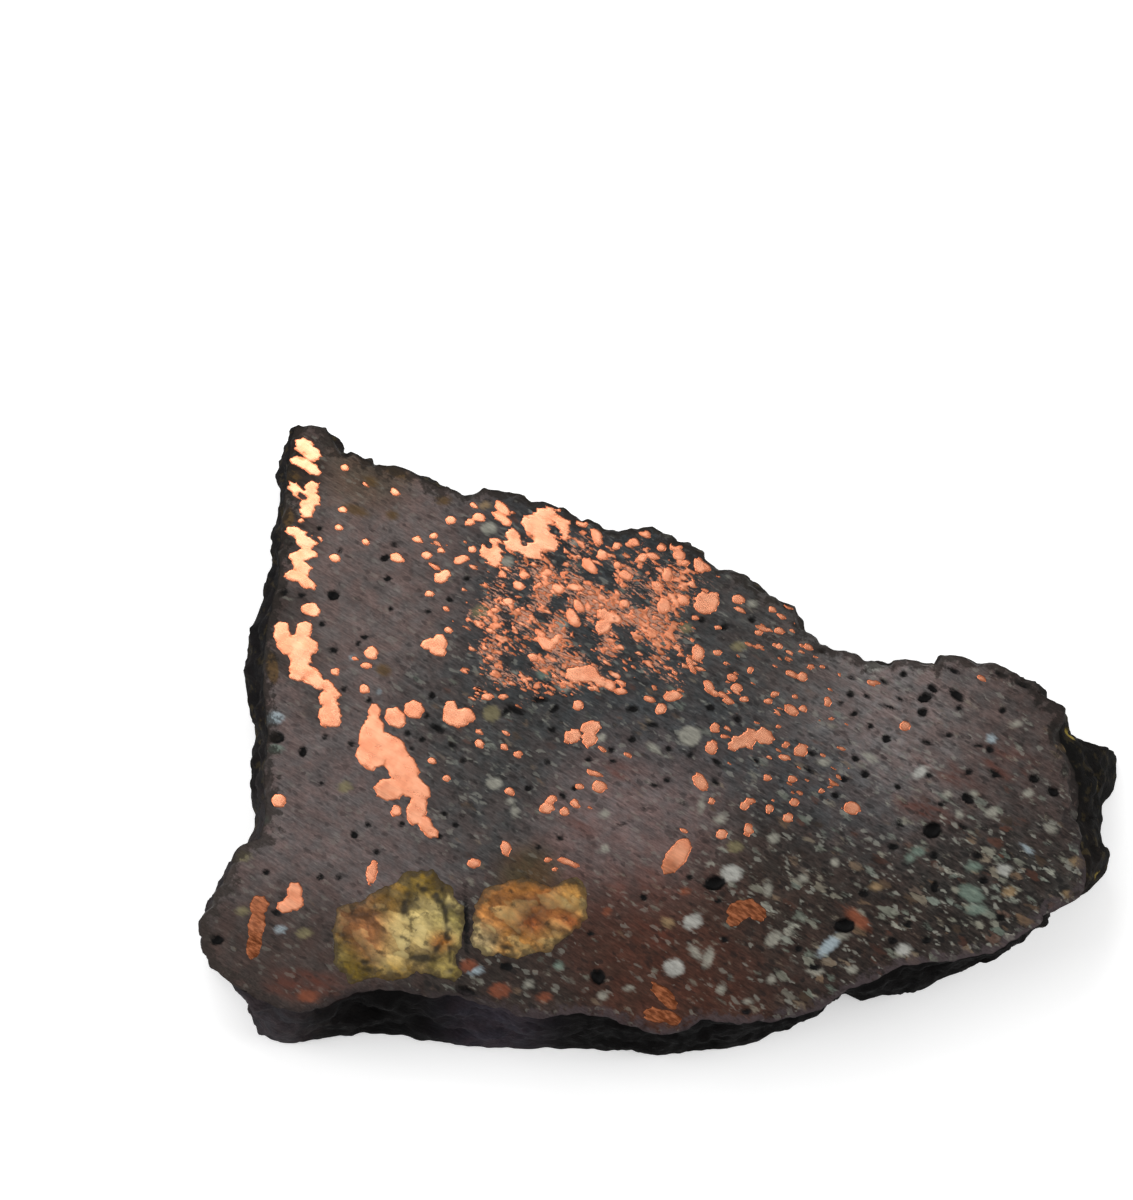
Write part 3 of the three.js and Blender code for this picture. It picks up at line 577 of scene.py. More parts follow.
def grey(tree, value):
    """A value as a grey colour."""
    return wire(tree, "CombineColor", {0: value, 1: value, 2: value}).outputs[0]


def cloud(tree, place, scale, detail=3.0, roughness=0.55):
    """Cloudy noise of 0 to 1 at a scale."""
    inputs = {"Vector": place, "Scale": scale, "Detail": detail, "Roughness": roughness}
    return wire(tree, "TexNoise", inputs).outputs[0]


def along_saw(tree, stretch):
    """Place on the slab in mm, turned to the saw's way and drawn out along it by a stretch."""
    place = wire(tree, "TexCoord").outputs["Object"]
    turn = {"Vector": place, "Rotation": (0, 0, -SAW_TURN), "Scale": (1 / MM, 1 / MM, 1 / MM)}
    turned = wire(tree, "Mapping", turn).outputs[0]
    return wire(tree, "Mapping", {"Vector": turned, "Scale": (1 / stretch, 1, 1)}).outputs[0]


def jostled(tree, place, scale, reach):
    """A place moved about by noise at a scale, as far as a reach."""
    push = wire(tree, "TexNoise", {"Vector": place, "Scale": scale, "Detail": 3.0}).outputs["Color"]
    inputs = {0: push, 1: (reach, reach, reach), 2: place}
    return wire(tree, "VectorMath", inputs, operation="MULTIPLY_ADD").outputs[0]


def saw_mark_group():
    """Fine straight marks of the saw: noise drawn out long along the saw's way, at two widths, given as a
    value that strays from 1 by a strength."""
    tree = bpy.data.node_groups.new("saw_marks", "ShaderNodeTree")
    for name, way in (("Fineness", "INPUT"), ("Strength", "INPUT"), ("Marks", "OUTPUT")):
        tree.interface.new_socket(name, in_out=way, socket_type="NodeSocketFloat")
    given = tree.nodes.new("NodeGroupInput").outputs
    lines = along_saw(tree, 20.0)
    fine = cloud(tree, lines, given["Fineness"], 2.0)
    broad = cloud(tree, lines, times(tree, given["Fineness"], 0.3), 2.0)
    both = plus(tree, times(tree, fine, 1.2), times(tree, broad, 0.8))
    stray = times(tree, less(tree, both, 1.0), given["Strength"])
    out = tree.nodes.new("NodeGroupOutput")
    tree.links.new(plus(tree, 1.0, stray), out.inputs["Marks"])
    return tree


SAW_MARKS = saw_mark_group()


def saw_marks(tree, fineness, strength):
    """The saw's marks in a material, with their own fineness and strength."""
    inputs = {"Fineness": fineness, "Strength": strength}
    return wire(tree, "Group", inputs, node_tree=SAW_MARKS).outputs["Marks"]


def shaded(tree, colour, value):
    """A colour made lighter or darker by a value around 1."""
    return mixed(tree, 1.0, colour, grey(tree, value), "MULTIPLY")


def new_material(name):
    """A material: gives it with its tree and its shader."""
    material = bpy.data.materials.new(name)
    material.use_nodes = True
    return material, material.node_tree, material.node_tree.nodes["Principled BSDF"]


basalt, tree, shader = new_material("basalt")
place, drawn = along_saw(tree, 1.0), along_saw(tree, 3.2)
marks = saw_marks(tree, 5.0, 0.65)
broken = kept(tree, "broken")
sawn = less(tree, 1.0, broken)
crowd = kept(tree, "crowd")
mottle = cloud(tree, place, 0.45, 4.0)
crumb = cloud(tree, drawn, 2.8, 3.0, 0.65)
grit = cloud(tree, drawn, 6.5, 2.0, 0.6)
hue = share_between(tree, cloud(tree, place, 0.5, 3.0), 0.35, 0.65)
tint = mixed(tree, hue, (1.07, 0.98, 0.96, 1), (0.94, 1.02, 1.04, 1))
colour = shaded(tree, kept(tree, "tone", "Color"), scaled(tree, mottle, 0.55, 1.45))
colour = mixed(tree, 1.0, colour, tint, "MULTIPLY")
rough_share = times(tree, less(tree, crumb, 0.5), scaled(tree, crowd, 1.0, 3.4))
colour = shaded(tree, colour, plus(tree, 1.0, rough_share))
colour = shaded(tree, colour, scaled(tree, grit, 0.55, 1.45))
colour = shaded(tree, colour, marks)
rust = times(tree, kept(tree, "stain"), share_between(tree, cloud(tree, drawn, 0.8), 0.35, 0.7))
colour = mixed(tree, times(tree, rust, 0.6), colour, paint(98, 50, 36))


def specks(tree, drawn, ragged, scale, size):
    """Specks of other minerals: random cells at a scale, each up to a size, with a ragged rim.

    Gives their mask and their random values.
    """
    cells = wire(tree, "TexVoronoi", {"Vector": jostled(tree, drawn, 1.5, 0.9), "Scale": scale}).outputs
    values = wire(tree, "SeparateColor", {0: cells["Color"]}).outputs
    over = less(tree, cells["Distance"], times(tree, values[0], size))
    return share_between(tree, plus(tree, over, ragged), 0.15, -0.25), values


# Fine dark and pale specks all over, then coarse ones, thick in the lower right of the face
ragged = scaled(tree, crumb, 0.45, -0.45)
short = along_saw(tree, 1.9)
fine_speck, fine_values = specks(tree, short, ragged, 2.0, 0.65)
fine_speck = times(tree, fine_speck, sawn)
darker = times(tree, fine_speck, share_between(tree, fine_values[1], 0.5, 0.57))
darker = times(tree, darker, scaled(tree, crowd, 0.4, 0.75))
colour = mixed(tree, darker, colour, paint(22, 20, 20))
paler = times(tree, fine_speck, share_between(tree, fine_values[1], 0.3, 0.22))
paler = times(tree, paler, scaled(tree, crowd, 0.1, 0.7))
colour = mixed(tree, paler, colour, paint(142, 142, 132))
coarse_speck, coarse_values = specks(tree, short, ragged, 1.05, scaled(tree, crowd, 0.1, 0.75))
coarse_speck = times(tree, coarse_speck, sawn)
tints = wire(tree, "ValToRGB", {0: coarse_values[1]})
tints.color_ramp.elements[0].color = paint(96, 106, 96)
tints.color_ramp.elements[1].color = paint(168, 166, 152)
SPECK_TINTS = [
    (0.25, (134, 132, 118)), (0.45, (112, 90, 70)), (0.55, (20, 18, 18)), (0.74, (90, 58, 46)),
    (0.86, (118, 126, 116)),
]
for position, screen in SPECK_TINTS:
    tints.color_ramp.elements.new(position).color = paint(*screen)
streaked = shaded(tree, tints.outputs[0], scaled(tree, crumb, 0.2, 1.6))
colour = mixed(tree, times(tree, coarse_speck, scaled(tree, crowd, 0.2, 0.85)), colour, streaked)

# Grains and open bubbles, each by how far off it is, with a ragged rim; the open bubbles are painted nearly
# black, as painted shade in their hollows
ragged = scaled(tree, cloud(tree, drawn, 3.0, 3.0), -0.4, 0.4)
grain_share = share_between(tree, plus(tree, kept(tree, "grain"), ragged), 0.24, -0.4)
grain_colour = shaded(tree, kept(tree, "grain_tint", "Color"), scaled(tree, crumb, 0.25, 1.55))
colour = mixed(tree, times(tree, grain_share, 0.8), colour, grain_colour)
bubble_shade_edge = plus(tree, kept(tree, "bubble"), times(tree, ragged, 0.8))
# Open bubbles painted nearly black: painted shade in the hollows
colour = mixed(tree, share_between(tree, bubble_shade_edge, 0.2, -0.16), colour, paint(10, 9, 9))

# The wall, with ochre patches, and a band along the face's edge in the rim's own tones
rim_wander = scaled(tree, cloud(tree, place, 0.9, 4.0, 0.65), -2.6, 4.6)
rim_reach = times(tree, kept(tree, "rim_width"), rim_wander)
edge_band = share_between(tree, less(tree, kept(tree, "rim"), rim_reach), 0.6, -0.4)
edge_band = times(tree, edge_band, times(tree, sawn, 0.8))
rim_colour = shaded(tree, kept(tree, "rim_tone", "Color"), scaled(tree, grit, 0.3, 1.7))
colour = mixed(tree, edge_band, colour, rim_colour)
patches = share_between(tree, cloud(tree, place, 0.9, 4.0), 0.54, 0.66)
patches = times(tree, times(tree, patches, broken), crowd)
colour = mixed(tree, patches, colour, paint(106, 92, 56))

# Copper as fine as dust between the flecks
density = kept(tree, "copper_dust")
dust = plus(tree, cloud(tree, drawn, 4.2, 4.0, 0.7), times(tree, density, 0.15))
dust = times(tree, share_between(tree, dust, 0.62, 0.7), share_between(tree, density, 0.05, 0.3))
dust_colour = shaded(tree, (0.66, 0.31, 0.20, 1), scaled(tree, grit, 0.4, 1.5))
colour = mixed(tree, times(tree, dust, 0.7), colour, dust_colour)
tree.links.new(colour, shader.inputs["Base Color"])
tree.links.new(times(tree, dust, 0.8), shader.inputs["Metallic"])
sheen = plus(tree, scaled(tree, crumb, 0.46, 0.68), times(tree, broken, 0.4))
tree.links.new(less(tree, sheen, times(tree, dust, 0.2)), shader.inputs["Roughness"])
shader.inputs["Specular IOR Level"].default_value = 0.1
relief = plus(tree, times(tree, crumb, scaled(tree, broken, 0.25, 2.0)), times(tree, marks, 0.4))
bump = wire(tree, "Bump", {"Height": relief, "Strength": 0.35, "Distance": 0.0003})
tree.links.new(bump.outputs[0], shader.inputs["Normal"])
stone.data.materials.append(basalt)

# The two nodules
# Larger bubbles that calcite filled with coarse crystals, one yellow to olive, one amber. The saw cut them
# flush with the face, where their crystals stand up to about a tenth of a millimetre out.
SEAM = 0.3  # gap between the solids, which the look closes
NODULE_CELL = 0.16  # size of a cell of the surface in mm
NODULE_GROWTH = 0.3 * SEAM  # how far the rim goes into the seam
NODULE_RISE, CRYSTAL_RISE = 0.02, 0.09  # of the top above the face, and of its crystals above that, in mm


def without_touching_corners(kept_cells):
    """A mask of cells with no two that meet only at a corner: an empty cell beside them is filled."""
    cells = kept_cells.copy()
    while True:
        a, b, c, d = cells[:-1, :-1], cells[1:, :-1], cells[:-1, 1:], cells[1:, 1:]
        first = a & d & ~b & ~c
        second = b & c & ~a & ~d
        if not (first.any() or second.any()):
            return cells
        b |= first
        a |= second


def flush_filling(name, field, low, high, cell, top, depth):
    """A closed filling from a field that is below zero inside it: gives the piece, its points and how far
    inside the rim each lies.

    Cells of a grid whose field is below zero on average are kept, and their outer points slide down the
    field's slope to its zero line. The top and the underside are functions of plan place and field, and a
    strip of quads joins them along the rim.
    """
    x, y = np.meshgrid(np.arange(low[0], high[0], cell), np.arange(low[1], high[1], cell), indexing="ij")
    value = field(x, y)
    mean = (value[:-1, :-1] + value[1:, :-1] + value[1:, 1:] + value[:-1, 1:]) / 4
    inside = np.zeros(mean.shape, bool)
    inside[1:-1, 1:-1] = mean[1:-1, 1:-1] < 0
    inside = without_touching_corners(inside)
    around_point = np.zeros(x.shape, int)
    for rows in (slice(None, -1), slice(1, None)):
        for columns in (slice(None, -1), slice(1, None)):
            around_point[rows, columns] += inside
    used = around_point > 0
    slope = np.stack(np.gradient(value, cell), axis=-1)
    slide = -value[..., None] * slope / np.maximum(0.05, (slope**2).sum(axis=-1, keepdims=True))
    slide *= np.minimum(1, 0.5 * cell / np.maximum(1e-9, np.hypot(*np.moveaxis(slide, -1, 0))))[..., None]
    rim = used & (around_point < 4)
    x = np.where(rim, x + slide[..., 0], x)
    y = np.where(rim, y + slide[..., 1], y)
    value = np.where(rim, 0.0, np.minimum(value, 0.0))
    count = int(used.sum())
    number = np.full(x.shape, -1)
    number[used] = np.arange(count)
    x, y, value = x[used], y[used], value[used]
    above = np.stack([x, y, top(x, y, value)], axis=-1)
    under = np.stack([x, y, THICKNESS - depth(value)], axis=-1)
    corners = [number[:-1, :-1], number[1:, :-1], number[1:, 1:], number[:-1, 1:]]
    upper = np.stack([corner[inside] for corner in corners], axis=-1)
    walls = []
    for turn, step in enumerate([(0, -1), (1, 0), (0, 1), (-1, 0)]):
        open_side = inside & ~np.roll(inside, (-step[0], -step[1]), axis=(0, 1))
        a, b = corners[turn][open_side], corners[(turn + 1) % 4][open_side]
        walls.append(np.stack([a + count, b + count, b, a], axis=-1))
    quads = np.concatenate([upper, upper[:, ::-1] + count, *walls])
    points = np.concatenate([above, under])
    return new_piece(name, points, quads), points, np.tile(-value, 2)


NODULE_ZONES = {
    "yellow_nodule": [
        (-27.0, -23.0, 2.0, paint(178, 150, 92), 1.0), (-25.0, -20.6, 2.0, paint(172, 152, 96), 1.0),
        (-30.5, -22.0, 2.2, paint(138, 86, 48), 0.3), (-31.4, -19.8, 1.8, paint(114, 78, 46), 0.2),
        (-28.2, -18.4, 1.6, paint(120, 90, 38), 0.3), (-25.2, -16.4, 1.8, paint(100, 78, 20), 0.1),
        (-22.4, -20.5, 1.4, paint(134, 120, 66), 0.6), (-21.6, -25.0, 1.6, paint(110, 94, 42), 0.3),
        (-33.2, -24.0, 1.6, paint(94, 80, 30), 0.1), (-32.0, -26.4, 1.4, paint(110, 88, 16), 0.1),
        (-27.5, -26.4, 1.2, paint(134, 100, 24), 0.3), (-23.0, -22.8, 1.0, paint(140, 76, 12), 0.1),
    ],
    "amber_nodule": [
        (-17.0, -19.5, 2.2, paint(152, 98, 46), 0.5), (-12.5, -19.2, 2.4, paint(142, 82, 38), 0.3),
        (-14.2, -17.2, 1.8, paint(156, 102, 46), 0.4), (-9.4, -18.0, 1.6, paint(166, 122, 60), 0.6),
        (-18.6, -22.6, 1.4, paint(160, 140, 98), 1.0), (-15.0, -23.2, 1.8, paint(150, 104, 46), 0.4),
        (-11.2, -22.2, 1.5, paint(154, 118, 66), 0.5), (-13.6, -20.8, 1.2, paint(112, 48, 16), 0.0),
        (-9.9, -20.4, 1.0, paint(120, 54, 20), 0.0), (-14.0, -15.9, 1.2, paint(102, 74, 26), 0.1),
    ],
}
# Dark slits between the crystals
NODULE_GAPS = [
    (-24.9, -24.8, 1.4, 0.4, 5), (-22.5, -20.6, 3.2, 0.2, 96), (-26.6, -18.4, 1.3, 0.3, 80),
    (-23.4, -23.6, 0.7, 0.3, 60), (-30.6, -25.6, 1.0, 0.3, -40), (-24.0, -17.6, 1.6, 0.3, -35),
    (-16.5, -23.4, 0.9, 0.25, -30),
]


def crystal_relief(x, y, value):
    """Height of a nodule's top: a little above the face, with ridged crystal noise that dies at its rim."""
    ridges = np.abs(noise(x / 1.1, y / 0.8, 4.0)) + 0.5 * np.abs(noise(x / 0.45, y / 0.4, 8.0))
    return THICKNESS + NODULE_RISE + CRYSTAL_RISE * ridges * soft_step(-value, 0, 0.8)


def nodule_depth(value):
    """Depth of a nodule below the face: more away from its rim, to 4.4 mm at most."""
    return 0.4 + np.minimum(4.0, -1.2 * value)


def nodule(node):
    """A nodule from its solid's rim: the rim grown into the seam and roughened by noise at two scales."""
    ring = rims(node, THICKNESS)[0]

    def field(x, y):
        rough = 0.36 * noise(x / 1.4, y / 1.2, 2.0) + 0.2 * noise(x / 0.5, y / 0.45, 5.0)
        return ring_distance(x, y, ring) - NODULE_GROWTH + rough

    piece, points, inner = flush_filling(
        node + "_crystals", field, ring.min(axis=0) - 1, ring.max(axis=0) + 1, NODULE_CELL,
        crystal_relief, nodule_depth,
    )
    tone, milkiness = zone_mix(points[:, 0], points[:, 1], NODULE_ZONES[node])
    slits = np.minimum.reduce([blob_distance(points[:, 0], points[:, 1], blob) for blob in NODULE_GAPS])
    keep_values(piece, "tone", tone)
    keep_values(piece, "milkiness", milkiness)
    keep_values(piece, "inner", inner)
    slits = slits + 0.3 * noise(points[:, 0] / 0.5, points[:, 1] / 0.5, 3.0)
    keep_values(piece, "slit", soft_step(-slits, -0.3, 0.25))
    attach(piece, "root")
    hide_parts(node)
    return piece


calcite, tree, shader = new_material("calcite")
place, drawn = along_saw(tree, 1.0), along_saw(tree, 1.7)
marks = saw_marks(tree, 4.0, 0.2)
inputs = {"Vector": jostled(tree, drawn, 0.9, 1.3), "Scale": 0.9, "Smoothness": 0.45}
blocks = wire(tree, "TexVoronoi", inputs, feature="SMOOTH_F1").outputs
block_values = wire(tree, "SeparateColor", {0: blocks["Color"]}).outputs
seams = cloud(tree, drawn, 2.2, 4.0, 0.65)
colour = shaded(tree, kept(tree, "tone", "Color"), scaled(tree, block_values[0], 0.5, 1.4))
colour = shaded(tree, colour, scaled(tree, blocks["Distance"], 1.3, 0.5))
colour = shaded(tree, colour, scaled(tree, cloud(tree, drawn, 0.9, 3.0), 0.0, 2.1))
colour = shaded(tree, colour, scaled(tree, seams, 0.1, 2.0))
milky = times(tree, share_between(tree, block_values[1], 0.4, 0.8), kept(tree, "milkiness"))
milky = times(tree, milky, scaled(tree, blocks["Distance"], 0.9, 0.1))
colour = mixed(tree, milky, colour, paint(212, 190, 128))
gaps = share_between(tree, cloud(tree, place, 0.85, 4.0), 0.56, 0.7)
gaps = maths(tree, "MAXIMUM", times(tree, gaps, 0.7), kept(tree, "slit"))
colour = mixed(tree, times(tree, gaps, 0.9), colour, paint(30, 24, 12))
rim_reach = scaled(tree, cloud(tree, place, 1.1, 3.0), -0.6, 1.6)
# Darker olive-brown toward each nodule's rim
rim_darkening = share_between(tree, less(tree, kept(tree, "inner"), rim_reach), 0.35, -0.35)
colour = mixed(tree, times(tree, rim_darkening, 0.75), colour, paint(62, 50, 30))
tree.links.new(shaded(tree, colour, marks), shader.inputs["Base Color"])
tree.links.new(scaled(tree, seams, 0.3, 0.6), shader.inputs["Roughness"])
shader.inputs["Specular IOR Level"].default_value = 0.2
bump = wire(tree, "Bump", {"Height": plus(tree, seams, marks), "Strength": 0.3, "Distance": 0.0003})
tree.links.new(bump.outputs[0], shader.inputs["Normal"])
for node, slot in (("yellow_nodule", "yellow_calcite"), ("amber_nodule", "amber_calcite")):
    piece = nodule(node)
    piece.data.materials.append(calcite)

# The copper masses
# Native copper that filled cracks and groups of bubbles as solid lumps. The saw cut and smeared it flush
# with the face, so it is bright and flat with fine saw lines and a ragged, feathery rim.
COPPER_CELL = 0.1
COPPER_GROWTH = 0.5 * SEAM
RIM_RISE, COPPER_RISE, DENT = 0.01, 0.008, 0.004  # rim above the face, copper above its rim, dents, in mm
DULL_COPPER = {  # how brown and dim a mass is, from 0 to 1: partly tarnish, partly painted shade dimming the masses near the front
    "copper_kidney": 0.9, "copper_rim_sliver": 1.0, "copper_rim_lump": 0.95, "copper_drip": 0.8,
    "copper_bar": 0.35, "copper_hook": 0.4, "copper_tongue": 0.1,
}
DULL_SPOTS = [  # places where a mass is browner and dimmer still, by the same tarnish and painted shade
    (-29.2, -5.9, 1.7, 1.1, -10), (-42.5, -23.4, 1.6, 1.0, 82), (0.6, -15.0, 1.6, 1.2, 57),
]
USUAL_RAGGED = 0.8  # how ragged the rim of a mass is
RAGGED_COPPER = {  # the same, for masses that are not as the others
    "copper_heart_1": 0.3, "copper_heart_2": 0.35, "copper_bead_1": 0.35, "copper_bead_2": 0.35,
    "copper_bar": 0.3, "copper_drip": 0.3, "copper_hook": 0.4, "copper_kidney": 0.6, "copper_tongue": 0.55,
    "copper_north_patch": 1.5, "copper_north_lump": 1.4, "copper_north_sliver": 1.4,
}
COPPER_HOLES = [  # spots of stone that show through the masses
    (-38.9, 29.1, 0.5, 0.3, -30), (-37.2, 23.9, 0.6, 0.25, -50), (-10.9, 24.8, 0.9, 0.4, -40),
    (-14.4, 24.3, 0.7, 0.35, -35),
]


def copper_relief(x, y, value):
    """Height of cut copper: a little above the face, rounded down to it at the rim, with small dents."""
    dents = DENT * noise(x / 0.9, y / 0.9, 1.0)
    return THICKNESS + RIM_RISE + (COPPER_RISE + dents) * soft_step(-value, 0, 0.28)


def copper_depth(value):
    """Depth of copper below the face: more away from its rim."""
    return 0.25 + np.minimum(0.9, -0.9 * value)


def saw_ways(x, y):
    """How far a place lies along the saw's way and across it: the place turned by the saw's turn."""
    cosine, sine = np.cos(SAW_TURN), np.sin(SAW_TURN)
    return x * cosine + y * sine, y * cosine - x * sine


def feathered(x, y):
    """Raggedness of a copper rim in mm: noise at three scales, drawn out along the saw's way."""
    along, across = saw_ways(x, y)
    coarse = 0.16 * noise(x / 1.1, y / 1.1, 12.0) + 0.16 * noise(along / 0.9, across / 0.4, 15.0)
    return coarse + 0.2 * noise(along / 0.8, across / 0.18, 18.0)


def copper_mass(node):
    """A copper mass from its solid's rims: the nearest rim grown into the seam, with a ragged edge."""
    rings = rims(node, THICKNESS)

    def field(x, y):
        nearest = np.minimum.reduce([ring_distance(x, y, ring) for ring in rings])
        holes = np.minimum.reduce([blob_distance(x, y, blob) for blob in COPPER_HOLES])
        ragged = RAGGED_COPPER.get(node, USUAL_RAGGED) * feathered(x, y)
        return np.maximum(nearest - COPPER_GROWTH, -holes) + ragged

    everywhere = np.concatenate(rings)
    piece, points, inner = flush_filling(
        node + "_cut", field, everywhere.min(axis=0) - 1, everywhere.max(axis=0) + 1, COPPER_CELL,
        copper_relief, copper_depth,
    )
    spots = np.minimum.reduce([blob_distance(points[:, 0], points[:, 1], blob) for blob in DULL_SPOTS])
    keep_values(piece, "dull", DULL_COPPER.get(node, 0.0) + 0.3 * soft_step(-spots, -0.6, 0.6))
    keep_values(piece, "inner", inner)
    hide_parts(node)
    return piece


copper, tree, shader = new_material("cut_copper")
place, drawn = along_saw(tree, 1.0), along_saw(tree, 3.0)
tarnish_and_shade = plus(tree, kept(tree, "dull"), scaled(tree, cloud(tree, place, 0.9, 3.0), -0.12, 0.12))
marks = saw_marks(tree, 5.0, scaled(tree, tarnish_and_shade, 0.15, 0.8))
smear = cloud(tree, drawn, 1.6, 4.0, 0.6)
bright = mixed(tree, share_between(tree, smear, 0.3, 0.75), (0.90, 0.37, 0.21, 1), (0.97, 0.45, 0.27, 1))
patchy = share_between(tree, cloud(tree, place, 0.5, 3.0), 0.35, 0.6)
bright = mixed(tree, patchy, (0.82, 0.31, 0.17, 1), bright)
# Darker orange toward each rim: painted shade, as of a rounded edge; each piece's scaling of inner sets the
# band's width
bright = mixed(tree, share_between(tree, kept(tree, "inner"), 0.3, 0.0), bright, (0.62, 0.19, 0.09, 1))
brown = mixed(tree, share_between(tree, cloud(tree, drawn, 3.0, 3.0), 0.35, 0.7), (0.12, 0.035, 0.014, 1),
              (0.36, 0.125, 0.055, 1))
# Brown and dim by the kept share: partly tarnish, partly painted shade
colour = mixed(tree, share_between(tree, tarnish_and_shade, 0.1, 1.0), bright, brown)
tree.links.new(shaded(tree, colour, marks), shader.inputs["Base Color"])
shader.inputs["Metallic"].default_value = 1.0
roughness = plus(tree, scaled(tree, smear, 0.2, 0.34), times(tree, tarnish_and_shade, 0.2))
tree.links.new(roughness, shader.inputs["Roughness"])
relief = plus(tree, times(tree, marks, 0.7), times(tree, smear, 0.5))
bump = wire(tree, "Bump", {"Height": relief, "Strength": 0.05, "Distance": 0.0001})
tree.links.new(bump.outputs[0], shader.inputs["Normal"])


def finish_copper(piece):
    """Gives a piece of copper its material and its place on the slab."""
    piece.data.materials.append(copper)
    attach(piece, "root")


for node in [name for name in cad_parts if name.startswith("copper_")]:
    finish_copper(copper_mass(node))

